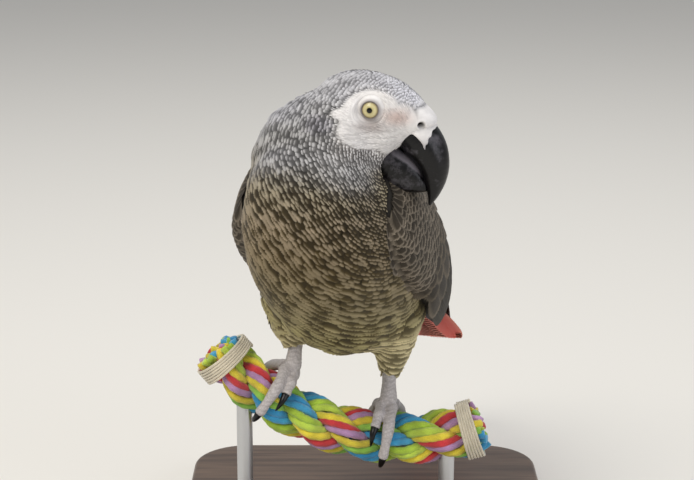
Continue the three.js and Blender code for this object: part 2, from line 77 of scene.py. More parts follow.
def add(tree: Tree, kind: str, inputs: dict | None = None, stops: Sequence = (), **settings) -> Node:
    """Adds one node with its settings and links.

    Args:
        tree: node tree that gets the node.
        kind: Blender's type name of the node, without ShaderNode before it.
        inputs: socket name or number, to a value, to the socket or to the node that feeds it.
        stops: position and hex colour of each stop of a colour ramp.
        settings: properties of the node itself.

    Returns:
        The new node.
    """
    node = tree.nodes.new("ShaderNode" + kind)
    for name, value in settings.items():
        setattr(node, name, value)
    feed(tree, node, inputs or {})
    for number, (position, colour) in enumerate(stops):
        while len(node.color_ramp.elements) < len(stops):
            node.color_ramp.elements.new(1.0)
        node.color_ramp.elements[number].position = position
        node.color_ramp.elements[number].color = (*linear(colour), 1.0)
    return node


def feed(tree: Tree, node: Node, inputs: dict) -> None:
    """Links or sets a node's sockets. A node stands for its first output, a string for a colour.

    Args:
        tree: the tree of the node.
        node: whose sockets they are.
        inputs: as in add.
    """
    for key, value in inputs.items():
        if isinstance(value, Node):
            value = value.outputs[0]
        if isinstance(value, bpy.types.NodeSocket):
            tree.links.new(value, node.inputs[key])
        else:
            node.inputs[key].default_value = (*linear(value), 1) if isinstance(value, str) else value


def smoothstep(low: float, high: float, values: Array) -> Array:
    """Gives 0 below low, 1 above high and a smooth rise between."""
    t = np.clip((np.asarray(values, float) - low) / (high - low), 0.0, 1.0)
    return t * t * (3 - 2 * t)


def unit(vectors: Array) -> Array:
    """Scales vectors to length 1."""
    vectors = np.asarray(vectors, float)
    return vectors / np.maximum(np.linalg.norm(vectors, axis=-1, keepdims=True), 1e-9)


def ramp(stops: Sequence[tuple[float, str]], values: Array) -> Array:
    """Reads a row of colour stops."""
    places = [s[0] for s in stops]
    colours = np.array([linear(s[1]) for s in stops])
    return np.stack([np.interp(values, places, colours[:, k]) for k in range(3)], -1)


def blended(first: Array, second: Array, share: Array) -> Array:
    """Mixes two rows of colours by a share from 0 to 1 at each."""
    return first * (1 - share[:, None]) + second * share[:, None]


# --- axes and row tables
def tinted(tones: Array, colour: str, share: Array) -> Array:
    """Mixes one hex colour into a row of colours by a share at each."""
    return blended(tones, 0 * tones + linear(colour), share)


@dataclass(frozen=True)
class Axes:
    """Right-handed axes with an origin, in millimetres."""

    origin: Array
    x: Array
    y: Array
    z: Array

    @classmethod
    def along(cls, origin: Sequence[float], first: Sequence[float]) -> "Axes":
        """Makes axes whose x follows a direction and whose z leans to the zenith."""
        x = unit(np.array(first, float))
        y = unit(np.cross((0.0, 0.0, 1.0), x))
        return cls(np.array(origin, float), x, y, np.cross(x, y))

    def place(self, a: Array, b: Array, c: Array) -> Array:
        """Gives points at distances a, b, c along the three axes."""
        a, b, c = np.broadcast_arrays(a, b, c)
        return self.origin + a[..., None] * self.x + b[..., None] * self.y + c[..., None] * self.z

    def local(self, points: Array) -> Array:
        """Gives the distances along the three axes of points."""
        return (points - self.origin) @ np.stack([self.x, self.y, self.z], 1)


def read_rows(rows: Array, at: Array) -> Array:
    """Reads a table of rows smoothly between them.

    Args:
        rows: rising positions in the first column, values in the others.
        at: positions to read.

    Returns:
        The values, one row per position.
    """
    rows = np.asarray(rows, float)
    at = np.asarray(at, float)
    k = np.clip(np.searchsorted(rows[:, 0], at, side="right") - 1, 0, len(rows) - 2)
    before = rows[np.maximum(k - 1, 0)]
    a, b = rows[k], rows[k + 1]
    after = rows[np.minimum(k + 2, len(rows) - 1)]
    step = (b[..., :1] - a[..., :1])
    t = np.clip((at[..., None] - a[..., :1]) / step, 0, 1)
    slope_a = (b - before) / (b[..., :1] - before[..., :1]) * step
    slope_b = (after - a) / (after[..., :1] - a[..., :1]) * step
    value = ((2 * t**3 - 3 * t**2 + 1) * a + (t**3 - 2 * t**2 + t) * slope_a
             + (3 * t**2 - 2 * t**3) * b + (t**3 - t**2) * slope_b)
    return value[..., 1:]


def node_box(name: str) -> tuple[Array, Array]:
    """Gives the lowest and highest corner of a solid in millimetres."""
    low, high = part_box(name)
    return np.array(low) / MM, np.array(high) / MM


def frame_shift() -> Array:
    """Finds how far the perch's own frame, with the rope's lowest point at 0, was moved."""
    base_centre, base_top = np.array((-17.0, 28.0)), -45.0
    low, high = node_box("stand_base")
    return np.array((*((low + high)[:2] / 2 - base_centre), high[2] - base_top))


SHIFT = frame_shift()
BODY = Axes.along(SHIFT + (-34.4, -31.0, 119.0), (0.261, 0.812, -0.522))
HEAD = Axes.along(SHIFT + (-13.0, -37.4, 156.0), (
    math.cos(math.radians(-13)), math.sin(math.radians(-13)), math.sin(math.radians(-5))))
EYE_UP = 0.3
EYE_RADIUS = 5.6
EYE_DEPTH = 17.5 - EYE_RADIUS
BODY_POWER = 2.15
TAIL_SWAY = 6.5


def body_place(at: Array, across: Array, up: Array) -> Array:
    """Gives points of the body's axes, whose tail end swings to the bird's right."""
    share = np.clip((np.asarray(at, float) - 90) / (238 - 90), 0, None)
    return BODY.place(at, across + TAIL_SWAY * share**1.5, up)


# --- meshes
@dataclass
class Shell:
    """Points and faces of one mesh, with values kept at each point."""

    points: Array
    faces: list[Array]
    values: dict[str, Array] = field(default_factory=dict)


def joined(shells: Sequence[Shell]) -> Shell:
    """Puts several shells in one.

    Args:
        shells: shells that carry the same values.

    Returns:
        One shell.
    """
    shift, faces = 0, []
    for shell in shells:
        faces += [f + shift for f in shell.faces]
        shift += len(shell.points)
    names = shells[0].values
    values = {n: np.concatenate([s.values[n] for s in shells]) for n in names}
    return Shell(np.concatenate([s.points for s in shells]), faces, values)


def sums(numbers: Array, values: Array, count: int) -> Array:
    """Adds up rows of values by the number of the point that each belongs to."""
    return np.stack([np.bincount(numbers, values[:, k], count) for k in range(values.shape[1])], 1)


def loft(rings: Array, values: dict[str, Array] | None = None) -> Shell:
    """Closes a row of rings to a tube with fans at its ends.

    Args:
        rings: rings of points, of one length.
        values: values for each point of each ring.

    Returns:
        The closed shell.
    """
    steps, sides = rings.shape[:2]
    grid = np.arange(steps * sides).reshape(steps, sides)
    turned = np.roll(grid, -1, 1)
    quads = np.stack([grid[:-1], turned[:-1], turned[1:], grid[1:]], -1).reshape(-1, 4)
    ends = [steps * sides, steps * sides + 1]
    caps = np.concatenate([
        np.stack([np.full(sides, ends[0]), turned[0], grid[0]], -1),
        np.stack([np.full(sides, ends[1]), grid[-1], turned[-1]], -1),
    ])
    points = np.concatenate([rings.reshape(-1, 3), rings[0].mean(0)[None], rings[-1].mean(0)[None]])
    kept = {}
    for name, v in (values or {}).items():
        flat = v.reshape(steps * sides, *v.shape[2:])
        kept[name] = np.concatenate([flat, v[0].mean(0)[None], v[-1].mean(0)[None]])
    shell = Shell(points, [quads, caps], kept)
    centre = points.mean(0)
    a, b, c = (points[quads[:, k]] - centre for k in range(3))
    if np.einsum("ij,ij->i", a, np.cross(b, c)).sum() < 0:
        shell.faces = [f[:, ::-1] for f in shell.faces]
    return shell


def make_object(name: str, shell: Shell, material: Material,
                replaced: Sequence[str] = (), uv: Array | None = None,
                crease: float = 180.0) -> None:
    """Makes a smooth mesh object that rides on the one body.

    Args:
        name: the piece's name.
        shell: points in millimetres, faces and values.
        material: its finish.
        replaced: solids that this piece stands for.
        uv: place on the bake map of each point.
        crease: angle in degrees from which an edge is sharp.
    """
    mesh = bpy.data.meshes.new(name)
    corners = np.concatenate([f.ravel() for f in shell.faces]).astype(np.int32)
    counts = np.concatenate([np.full(len(f), f.shape[1]) for f in shell.faces])
    mesh.vertices.add(len(shell.points))
    mesh.loops.add(len(corners))
    mesh.polygons.add(len(counts))
    mesh.vertices.foreach_set("co", (shell.points * MM).astype(np.float32).ravel())
    mesh.loops.foreach_set("vertex_index", corners)
    mesh.polygons.foreach_set("loop_start", (np.cumsum(counts) - counts).astype(np.int32))
    mesh.update(calc_edges=True)
    mesh.polygons.foreach_set("use_smooth", np.ones(len(counts), bool))
    if crease < 180:
        mesh.set_sharp_from_angle(angle=math.radians(crease))
    for key, value in shell.values.items():
        if value.ndim == 2:
            layer = mesh.color_attributes.new(key, "FLOAT_COLOR", "POINT")
            value = np.pad(value, ((0, 0), (0, 1)), constant_values=1.0)
        else:
            layer = mesh.attributes.new(key, "FLOAT", "POINT")
        word = "color" if value.ndim == 2 else "value"
        layer.data.foreach_set(word, value.astype(np.float32).ravel())
    if uv is not None:
        layer = mesh.uv_layers.new(name=BAKE_MAP)
        layer.data.foreach_set("uv", uv[corners].astype(np.float32).ravel())
    mesh.materials.append(material)
    piece = bpy.data.objects.new(name, mesh)
    bpy.context.scene.collection.objects.link(piece)
    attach(piece, "root")
    if replaced:
        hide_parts(*replaced)
    LOG.info("%s: %d faces", name, len(counts))


def fused(shells: Sequence[Shell], voxel: float) -> Shell:
    """Melts overlapping closed shells to one surface of even quads.

    Args:
        shells: closed shells that overlap.
        voxel: side of a quad in millimetres.

    Returns:
        The one surface.
    """
    source = joined([Shell(s.points, s.faces) for s in shells])
    mesh = bpy.data.meshes.new("fused_source")
    faces = [tuple(int(i) for i in f) for part in source.faces for f in part]
    mesh.from_pydata((source.points * MM).tolist(), [], faces)
    holder = bpy.data.objects.new("fused_source", mesh)
    bpy.context.scene.collection.objects.link(holder)
    remesh = holder.modifiers.new("remesh", "REMESH")
    remesh.mode = "VOXEL"
    remesh.voxel_size = voxel * MM
    result = holder.evaluated_get(bpy.context.evaluated_depsgraph_get()).to_mesh()
    points = np.empty(len(result.vertices) * 3)
    result.vertices.foreach_get("co", points)
    corners = np.empty(len(result.loops), np.int32)
    result.loops.foreach_get("vertex_index", corners)
    holder.to_mesh_clear()
    bpy.data.objects.remove(holder)
    bpy.data.meshes.remove(mesh)
    return Shell(points.reshape(-1, 3) / MM, [corners.reshape(-1, 4)])


def solid_shell(name: str, grow: float) -> Shell:
    """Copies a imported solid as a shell, pushed out a little so that neighbours overlap.

    Args:
        name: the solid's node.
        grow: how far each corner moves out.

    Returns:
        The shell.
    """
    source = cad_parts[name].data
    form = bmesh.new()
    form.from_mesh(source)
    bmesh.ops.remove_doubles(form, verts=form.verts, dist=1e-6)
    form.normal_update()
    points = np.array([v.co for v in form.verts]) / MM
    normals = np.array([v.normal for v in form.verts])
    faces = np.array([[v.index for v in f.verts] for f in form.faces])
    form.free()
    return Shell(points + normals * grow, [faces])


class Net:
    """A closed mesh as arrays, with the neighbour sums that smoothing and slopes need."""

    def __init__(self, points: Array, faces: list[Array]) -> None:
        """Keeps the points and lists each side between two of them once."""
        self.points, self.faces, self.quads = points, faces, faces[-1]
        sides = np.concatenate([f[:, [k, (k + 1) % f.shape[1]]] for f in faces for k in range(f.shape[1])])
        sides = np.unique(np.sort(sides, 1), axis=0)
        self.a = np.concatenate([sides[:, 0], sides[:, 1]])
        self.b = np.concatenate([sides[:, 1], sides[:, 0]])
        self.degree = np.bincount(self.a, minlength=len(points))[:, None]

    def around(self, values: Array) -> Array:
        """Sums the values of each point's neighbours, given at each directed side."""
        return sums(self.a, values, len(self.points))

    def blurred(self, values: Array, rounds: int) -> Array:
        """Moves values, one row per point, halfway to the mean of their neighbours in each round."""
        for _ in range(rounds):
            values = values + 0.5 * (self.around(values[self.b]) / self.degree - values)
        return values

    def normals(self) -> Array:
        """Gives the outward normal at each point, from the crossed diagonals of quads."""
        corner = self.points[self.quads]
        face = np.cross(corner[:, 2] - corner[:, 0], corner[:, 3] - corner[:, 1])
        return unit(sum(sums(self.quads[:, j], face, len(self.points)) for j in range(4)))

    def corner_normals(self) -> Array:
        """Gives the outward normal at each point, from the first corner of triangles and quads."""
        total = np.zeros(self.points.shape)
        for f in self.faces:
            corner = self.points[f]
            face = np.cross(corner[:, 1] - corner[:, 0], corner[:, -1] - corner[:, 0])
            for j in range(f.shape[1]):
                total += sums(f[:, j], face, len(total))
        return unit(total)

    def distance_from(self, sources: Array) -> Array:
        """Walks over the surface from some points to all others.

        Args:
            sources: numbers of the points at distance 0.

        Returns:
            The length of the shortest way to each point.
        """
        diagonals = np.concatenate([self.quads[:, [0, 2]], self.quads[:, [1, 3]]])
        a = np.concatenate([self.a, diagonals[:, 0], diagonals[:, 1]])
        b = np.concatenate([self.b, diagonals[:, 1], diagonals[:, 0]])
        length = np.linalg.norm(self.points[a] - self.points[b], axis=1)
        order = np.argsort(b, kind="stable")
        a, length = a[order], length[order]
        starts = np.searchsorted(b[order], np.arange(len(self.points)))
        distance, reached = None, np.full(len(self.points), math.inf)
        reached[sources] = 0.0
        while distance is None or (reached < distance).any():
            distance = reached
            reached = np.minimum(distance, np.minimum.reduceat(distance[a] + length, starts))
        return np.where(np.isfinite(distance), distance, distance[np.isfinite(distance)].max())

    def slope(self, values: Array, normals: Array) -> Array:
        """Finds the direction over the surface in which values rise.

        Args:
            values: one number per point.
            normals: outward normals.

        Returns:
            The slope at each point.
        """
        step = self.points[self.b] - self.points[self.a]
        rise = values[self.b] - values[self.a]
        squares = self.around((step[:, :, None] * step[:, None, :]).reshape(-1, 9)).reshape(-1, 3, 3)
        size = np.trace(squares, axis1=1, axis2=2)[:, None, None]
        squares = squares + normals[:, :, None] * normals[:, None, :] * size + np.eye(3) * size * 1e-4
        slope = np.linalg.solve(squares, self.around(step * rise[:, None])[:, :, None])[:, :, 0]
        return slope - (slope * normals).sum(1)[:, None] * normals


class Ground:
    """Finds the nearest place on a surface, with what its points know."""

    def __init__(self, points: Array, faces: Array) -> None:
        """Builds the search tree over a shell in millimetres."""
        self.faces = faces
        self.tree = BVHTree.FromPolygons(points.tolist(), faces.tolist())

    def nearest(self, points: Array) -> tuple[Array, Array, Array]:
        """Finds the nearest places.

        Args:
            points: one row per point.

        Returns:
            The places, the number of a surface point beside each and the distances.
        """
        places = np.empty((len(points), 3))
        numbers = np.empty(len(points), int)
        distances = np.empty(len(points))
        for k, p in enumerate(points.tolist()):
            place, _, face, distance = self.tree.find_nearest(p)
            places[k], numbers[k], distances[k] = place, self.faces[face][0], distance
        return places, numbers, distances

    def covers(self, points: Array, directions: Array, reach: float) -> Array:
        """Says of each point whether the surface lies within reach in a direction."""
        return np.array([self.tree.ray_cast(p, d, reach)[0] is not None
                         for p, d in zip(points.tolist(), directions.tolist())])


# --- markings
@dataclass(frozen=True)
class Markings:
    """Where each colour of the bird lies. The coat and the skin both read it."""

    # centre along the bill axis and up, half-widths, of the ovals that make the bare face
    face_ovals: tuple = ((0.6, -0.8, 11.8, 8.7), (-9.4, -2.1, 5.4, 2.3), (2.2, -6.9, 13.6, 8.7),
                         (11.2, -8.0, 8.6, 11.6))
    ear_oval: tuple = (-17.0, -7.0, 7.5, 5.2)
    lore_oval: tuple = (10.6, -2.0, 9.0, 5.4)
    # the under-eye oval places painted shade below the eye
    under_eye_oval: tuple = (1.4, -6.0, 9.5, 4.2)
    # each colour is given for a feather's middle and for its rim; the crown's by distance from the bill
    crown: tuple = (((0, "#f0eff4"), (14, "#e8e7ec"), (24, "#c6c5c9"), (36, "#a8a7aa")),
                    ((0, "#f3f2f6"), (14, "#ecebf0"), (24, "#cfced2"), (36, "#c1c0c3")))
    # neck, breast and belly by distance below the eye; their olive brown is painted warm light bounced
    # from below, and the dark throat at 30 is painted shadow under the bill
    front: tuple = (((8, "#767575"), (20, "#575552"), (30, "#3f3625"), (42, "#40351c"), (58, "#443617"),
                     (80, "#504526"), (100, "#564a26")),
                    ((8, "#b6b5b5"), (20, "#aba9a7"), (30, "#9f957f"), (42, "#9a8b74"), (58, "#8a7b60"),
                     (80, "#8d8162"), (100, "#a59b6b")))
    # nape, back and rump by distance from the bill
    back: tuple = (((0, "#a8a7ab"), (40, "#8f8e92"), (80, "#676669"), (130, "#6f6e70"), (180, "#a3a19f"),
                    (220, "#b3b1ae")),
                   ((0, "#d2d1d5"), (40, "#c4c3c7"), (80, "#a09fa2"), (130, "#a2a1a2"), (180, "#c9c7c4"),
                    (220, "#d2d0cc")))
    cheek: tuple = ("#989694", "#c9c7c6")
    # painted light: the thighs are paler and yellower, for warm light bounced onto them under the belly
    thigh: tuple = ("#998d68", "#dccfa3")
    # painted light: the chin's dark middle is painted shadow under the bill, its olive tint painted warm
    # bounce light
    chin: tuple = ("#4b3f2b", "#c4b795")
    ear: tuple = ("#6b696e", "#a19ea4")
    white: tuple = ("#e8e5e3", "#e8e5e3")
    fringe: tuple = ("#aca6a2", "#e8e5e3")
    lore: tuple = ("#cbb9b2", "#cbb9b2")
    # painted shade under the eye
    under_eye: tuple = ("#b8b0ad", "#b8b0ad")
    red: tuple = ("#a52217", "#c2382a")

    @staticmethod
    def oval(local: Array, oval: Sequence[float]) -> Array:
        """Gives 1 at an oval's middle and 0 on its outline, in the head's side view."""
        x, z, rx, rz = oval
        return 1 - np.hypot((local[:, 0] - x) / rx, (local[:, 2] - z) / rz)

    def face(self, points: Array) -> Array:
        """Says how far each place belongs to the bare white face, from 0 to 1."""
        local = HEAD.local(points)
        x, y, z = local.T
        nose = smoothstep(16.0, 18.5, x) * smoothstep(2.6, 0.8, z) * (z > -18)
        return np.maximum(smoothstep(-0.08, 0.12, self.inside(local)) * smoothstep(1.5, 4.0, np.abs(y)), nose)

    def beside_face(self, points: Array) -> Array:
        """Says how near each place lies to the bare face's outline, from 0 to 1 at the outline."""
        local = HEAD.local(points)
        return smoothstep(-0.55, -0.12, self.inside(local)) * (np.abs(local[:, 1]) > 3)

    def inside(self, local: Array) -> Array:
        """Gives 1 at the middle of the bare face and 0 on its outline."""
        return np.max([self.oval(local, o) for o in self.face_ovals], 0)

    def colours(self, points: Array, rise: Array, normals: Array) -> list[Array]:
        """Reads the colours of the coat.

        Args:
            points: places on the skin.
            rise: distance from the bill over the skin.
            normals: outward normals.

        Returns:
            The colour of a feather's middle and of its rim at each place.
        """
        local = HEAD.local(points)
        x, y, z = local.T
        out = np.abs(y)
        back = smoothstep(0.0, 0.5, normals @ BODY.z) * smoothstep(30, 60, rise)
        crown = smoothstep(-2.0, 5.0, z) * smoothstep(-30, -16, x)
        cheek = smoothstep(44, 26, rise) * smoothstep(-34, -22, z)
        thigh = Skin.on_thigh(points)
        chin = smoothstep(0.0, 0.5, 1 - np.hypot((x - 5) / 14, (z + 31) / 11)) * smoothstep(24, 8, out)
        ear = smoothstep(0.0, 0.7, self.oval(local, self.ear_oval)) * (out > 6)
        fringe = smoothstep(-0.8, 0.0, self.inside(local)) * smoothstep(-6.0, -12.0, z)
        fringe = fringe * smoothstep(-14.0, -6.0, x) * (out > 5)
        lore, under_eye = (smoothstep(0.0, 0.95, self.oval(local, oval)) * (out > 4)
                           for oval in (self.lore_oval, self.under_eye_oval))
        face, red = self.face(points), smoothstep(132, 140, BODY.local(points)[:, 0])
        pair = []
        for k, fringe_share in ((0, 0.75), (1, 0.85)):
            tone = tinted(ramp(self.front[k], -z), self.cheek[k], cheek)
            tone = tinted(tone, self.thigh[k], thigh)
            tone = blended(tone, ramp(self.back[k], rise), back)
            tone = blended(tone, ramp(self.crown[k], rise), crown)
            for colours, share in (
                    (self.chin, chin), (self.ear, ear * 0.8), (self.fringe, fringe * fringe_share),
                    (self.white, face), (self.lore, lore), (self.under_eye, under_eye), (self.red, red)):
                tone = tinted(tone, colours[k], share)
            pair.append(tone)
        return pair


# --- skin
@dataclass
class Skin:
    """The one skin of head, neck, trunk and thighs, with lids, folds and cere."""

    markings: Markings
    voxel: float = 1.25
    overlap: float = 0.45
    solids: tuple = ("head", "neck", "trunk", "thigh_right", "thigh_left")
    # distance from the bill, depth of the coat over the skin
    depth_rows: tuple = ((0, 0.5), (16, 0.8), (36, 1.2), (60, 1.7), (90, 2.2), (130, 2.5), (230, 2.4))
    bare_depth: float = 0.35
    lid_opening: float = 3.35
    # painted shade on the lids round the eye, and in lid edges, nostril pits, folds and wrinkles
    lid_shade_tone: str = "#a9a2a0"
    crease_shade_tone: str = "#1d1a1a"
    lid_width: float = 0.75
    nostril: tuple = (19.5, -4.6, 1.15)
    # radius, width and depth of each ring of wrinkles round the eye
    wrinkles: tuple = ((4.75, 0.2, 0.7), (5.5, 0.22, 0.9), (6.4, 0.24, 1.0), (7.4, 0.28, 0.7))
    # height and tilt of each fold across the bare face
    folds: tuple = ((-8.6, 0.16), (-10.9, 0.085), (-13.4, 0.03))
    net: Net = None
    normals: Array = None
    rise: Array = None
    flow: Array = None
    depth: Array = None
    ground: Ground = None

    def grow(self) -> None:
        """Melts the solids of flesh to one surface and finds the lie of the coat on it."""
        flesh = (*self.solids, "eye_right", "eye_left")
        shell = fused([solid_shell(n, self.overlap) for n in flesh], self.voxel)
        net = Net(shell.points, shell.faces)
        net.points = net.blurred(net.points, 10)
        net.points = net.points - net.normals() * (self.overlap - 0.15)
        bill = joined([solid_shell(n, 0.0) for n in ("bill_upper", "bill_lower")])
        _, _, gap = Ground(bill.points, bill.faces[0]).nearest(net.points)
        rise = net.distance_from(np.flatnonzero(gap < 1.6))
        self.rise = net.blurred(rise[:, None], 25)[:, 0]
        normals = unit(net.blurred(net.normals(), 6))
        flow = net.blurred(unit(net.slope(self.rise, normals)), 30)
        self.flow = unit(flow - (flow * normals).sum(1)[:, None] * normals)
        bare = self.markings.face(net.points)
        depth = np.interp(self.rise, *np.array(self.depth_rows).T)
        depth = depth * (1 - 0.35 * self.on_thigh(net.points))
        self.depth = depth * (1 - bare) + self.bare_depth * bare
        near_bill = smoothstep(1.0, 4.0, gap)
        net.points = net.points - normals * (self.depth * near_bill)[:, None]
        self.net, self.normals = net, normals
        self.ground = Ground(net.points, net.quads)

    @staticmethod
    def on_thigh(points: Array) -> Array:
        """Says how far each place belongs to a thigh, from 0 to 1."""
        x, y, z = (points - SHIFT).T
        inner = np.minimum(np.hypot(x + 47.5, y + 2), np.hypot(x + 6.0, y))
        return smoothstep(62, 50, z) * smoothstep(23, 16, inner)

    def relief(self, points: Array, normals: Array) -> tuple[Array, Array]:
        """Shapes lids, folds, cere and nostrils on the head.

        Args:
            points: skin points.
            normals: outward normals.

        Returns:
            The shaped points, and how much painted shade each gets in lid edges, nostril pits, folds and
            wrinkles, from 0 to 1.
        """
        x, y, z = HEAD.local(points).T
        out, opening = np.abs(y), self.lid_opening
        ring = np.hypot(x, z - EYE_UP)
        beside = out > 8
        ball = EYE_DEPTH + np.sqrt(np.clip(EYE_RADIUS**2 - ring**2, 0, None))
        hole = smoothstep(opening + 0.15, opening - 0.35, ring)
        rim = np.exp(-((ring - opening - self.lid_width / 2) / (self.lid_width * 0.55)) ** 2)
        hug = smoothstep(opening + 3.2, opening + 0.5, ring)
        target = out * (1 - hug) + (ball + 0.22) * hug + 0.32 * rim
        lower = 0.45 + 0.55 * smoothstep(1.5, -2.5, z - EYE_UP)
        turn = np.arctan2(z - EYE_UP, x)
        wrinkles = 0
        for radius, width, deep in self.wrinkles:
            bent = ring + 0.12 * np.sin(5 * turn + 3 * radius) + 0.07 * np.sin(11 * turn + 5 * radius)
            wrinkles = wrinkles + deep * lower * np.exp(-((bent - radius) / width) ** 2)
        wrinkles = wrinkles * beside
        target = (target - 0.2 * wrinkles) * (1 - hole) + (ball - 1.3) * hole
        shown = beside & (ring < 9)
        out = np.where(shown, target, out)
        points = np.where(shown[:, None], HEAD.place(x, np.sign(y) * out, z), points)
        lid = smoothstep(opening + 0.62, opening + 0.3, ring) * beside

        along, up, radius = self.nostril
        cere = smoothstep(6.2, 3.0, np.hypot(x - along, (z - up) * 1.05))
        gap = np.hypot(x - along, z - up)
        pit = smoothstep(radius + 0.3, radius - 0.2, gap) * (out > 2.5) * (x > 12)
        lip = np.exp(-((gap - radius - 0.55) / 0.5) ** 2) * (out > 2.0) * (x > 12)
        lift = 0.45 * cere + 0.35 * lip - 2.2 * pit
        across = smoothstep(-12, -8, x) * smoothstep(13, 8, x) * (out > 6)
        folds = 0
        for height, tilt in self.folds:
            folds = folds + np.exp(-((z - height - tilt * x - 0.3 * np.sin(0.6 * x)) / 0.42) ** 2) * across
        points = points + normals * (lift - 0.34 * folds)[:, None]
        # painted shade in the lid edges, nostril pits, folds and wrinkles
        return points, np.max([lid * 0.5, pit, 0.13 * folds, 0.17 * wrinkles], 0)

    def cut_finer(self) -> tuple[Net, Array]:
        """Divides the skin more finely on the face, and most finely round the eyes.

        Returns:
            The finer net and its distance from the bill.
        """
        form = bmesh.new()
        rise_layer = form.verts.layers.float.new("rise")
        verts = [form.verts.new(p) for p in self.net.points.tolist()]
        for vert, rise in zip(verts, self.rise.tolist()):
            vert[rise_layer] = rise
        for quad in self.net.quads.tolist():
            form.faces.new([verts[k] for k in quad])
        for cuts in (2, 1):
            form.verts.index_update()
            x, y, z = HEAD.local(np.array([v.co for v in form.verts])).T
            if cuts == 2:
                near = (x > -10.5) & (z > -17) & (z < 9) & (x * x + y * y + z * z < 34**2)
            else:
                near = (np.hypot(x, z - EYE_UP) < 9) & (np.abs(y) > 8)
            chosen = [e for e in form.edges if near[e.verts[0].index] and near[e.verts[1].index]]
            bmesh.ops.subdivide_edges(form, edges=chosen, cuts=cuts, use_grid_fill=True)
        bmesh.ops.triangulate(form, faces=[f for f in form.faces if len(f.verts) > 4])
        form.verts.index_update()
        points = np.array([v.co for v in form.verts])
        rise = np.array([v[rise_layer] for v in form.verts])
        faces = [np.array([[v.index for v in f.verts] for f in form.faces if len(f.verts) == n])
                 for n in (3, 4)]
        form.free()
        return Net(points, [f for f in faces if len(f)]), rise

    def build(self, material: Material) -> None:
        """Makes the skin.

        Args:
            material: its finish.
        """
        net, rise = self.cut_finer()
        net.points = points = net.blurred(net.points, 4)
        normals = net.corner_normals()
        shaped, dark = self.relief(points, normals)
        centre, _ = self.markings.colours(points, rise, normals)
        bare = self.markings.face(points)
        # painted shade: under the coat the skin is 0.62 as bright as the feathers' middle colour
        centre = centre * (0.62 + 0.38 * bare)[:, None]
        # painted shade round the eye's opening, and in lid edges, nostril pits, folds and wrinkles
        ring = np.hypot(*(HEAD.local(points)[:, (0, 2)] - (0, EYE_UP)).T)
        lid = smoothstep(self.lid_opening + 1.5, self.lid_opening + 0.6, ring) * bare
        centre = tinted(tinted(centre, self.lid_shade_tone, 0.8 * lid), self.crease_shade_tone, dark)
        make_object("skin", Shell(shaped, net.faces, {"tone": centre}), material,
                    self.solids)


# --- feathers
@dataclass(frozen=True)
class Vane:
    """Template of one closed feather vane, whose barbs lean forward and part at their tips."""

    barbs: int
    last: float = 0.9
    lean: float = 0.12
    widest: float = 0.6
    root: float = 0.3
    columns: tuple = (0.0, 0.42, 0.8)
    blunt: float = 2.0

    def half_width(self, along: Array) -> Array:
        """Gives the part of its full half-width that the vane has along its length."""
        rising = self.root + (1 - self.root) * smoothstep(0, self.widest * 0.9, along)
        past = np.clip((along - self.widest) / (1.04 - self.widest), 0, 1)
        return rising * (1 - past**self.blunt) ** (1 / self.blunt)

    def build(self) -> Shell:
        """Makes the template.

        Returns:
            A shell whose points are distance along, place across and 1 on the underside. Its
            value edge rises from 0 on the outline to 1 inside.
        """
        n, step = self.barbs, self.last / self.barbs
        points, edges, grid, faces = [], [], [], []

        def put(along: float, share: float, under: float, edge: float) -> int:
            """Adds one point and gives its number."""
            points.append((along, share * float(self.half_width(np.array(along))), under))
            edges.append(edge)
            return len(points) - 1

        shares = [-f for f in self.columns[:0:-1]] + list(self.columns)
        for i in range(n + 1):
            lean = self.lean * (1 - i * step) if i < n else 0.0
            grid.append([put(i * step + lean * abs(f), f, 0, 0.35 if i == n or abs(f) > 0.7 else 1.0)
                         for f in shares])
        keel = [put(i * step, 0, 1, 1.0) for i in range(n + 1)]
        for i in range(n):
            for j in range(len(shares) - 1):
                a, b, c, d = grid[i][j], grid[i][j + 1], grid[i + 1][j + 1], grid[i + 1][j]
                faces += [(a, b, c), (a, c, d)]
            for j, side in ((0, -1), (-1, 1)):
                near, far = grid[i][j], grid[i + 1][j]
                tip = put(min(points[far][0] + 0.2 * step, 0.99), side, 0, 0.0)
                ring = [(near, tip, far), (keel[i], tip, near), (keel[i], far, tip),
                        (keel[i], keel[i + 1], far)]
                faces += [f if side > 0 else f[::-1] for f in ring]
        for j in range(len(shares) - 1):
            near, far = grid[n][j], grid[n][j + 1]
            share = (shares[j] + shares[j + 1]) / 2
            tip = put(1.0 - 0.05 * abs(share), share, 0, 0.0)
            faces += [(near, far, tip), (keel[n], near, tip), (keel[n], tip, far)]
            faces += [(keel[0], grid[0][j + 1], grid[0][j])]
        return Shell(np.array(points), [np.array(faces)], {"edge": np.array(edges)})

    def spread(self, count: int) -> tuple[Shell, Array]:
        """Repeats the template's faces and values for many feathers.

        Args:
            count: number of feathers.

        Returns:
            A shell without places yet, and the template's points.
        """
        one = self.build()
        size = len(one.points)
        faces = (one.faces[0][None] + size * np.arange(count)[:, None, None]).reshape(-1, 3)
        tiled = {"edge": np.tile(one.values["edge"], count), "along": np.tile(one.points[:, 0], count)}
        return Shell(np.zeros((count * size, 3)), [faces], tiled), one.points


def lagrange(nodes: Sequence[float], at: Array) -> Array:
    """Weighs values at nodes so that one polynomial passes through all of them.

    Args:
        nodes: where the values lie.
        at: places to read.

    Returns:
        One row of weights for each place.
    """
    weights = np.ones((len(at), len(nodes)))
    for i, node in enumerate(nodes):
        for other in np.delete(nodes, i):
            weights[:, i] *= (at - other) / (node - other)
    return weights


@dataclass
class Tufts:
    """Roots of many feathers with their sizes, one row each."""

    roots: Array
    numbers: Array
    length: Array
    width: Array
    yaw: Array
    lift: Array
    luck: Array

    def chosen(self, keep: Array) -> "Tufts":
        """Keeps some of the feathers."""
        return Tufts(*(getattr(self, name)[keep] for name in self.__dataclass_fields__))


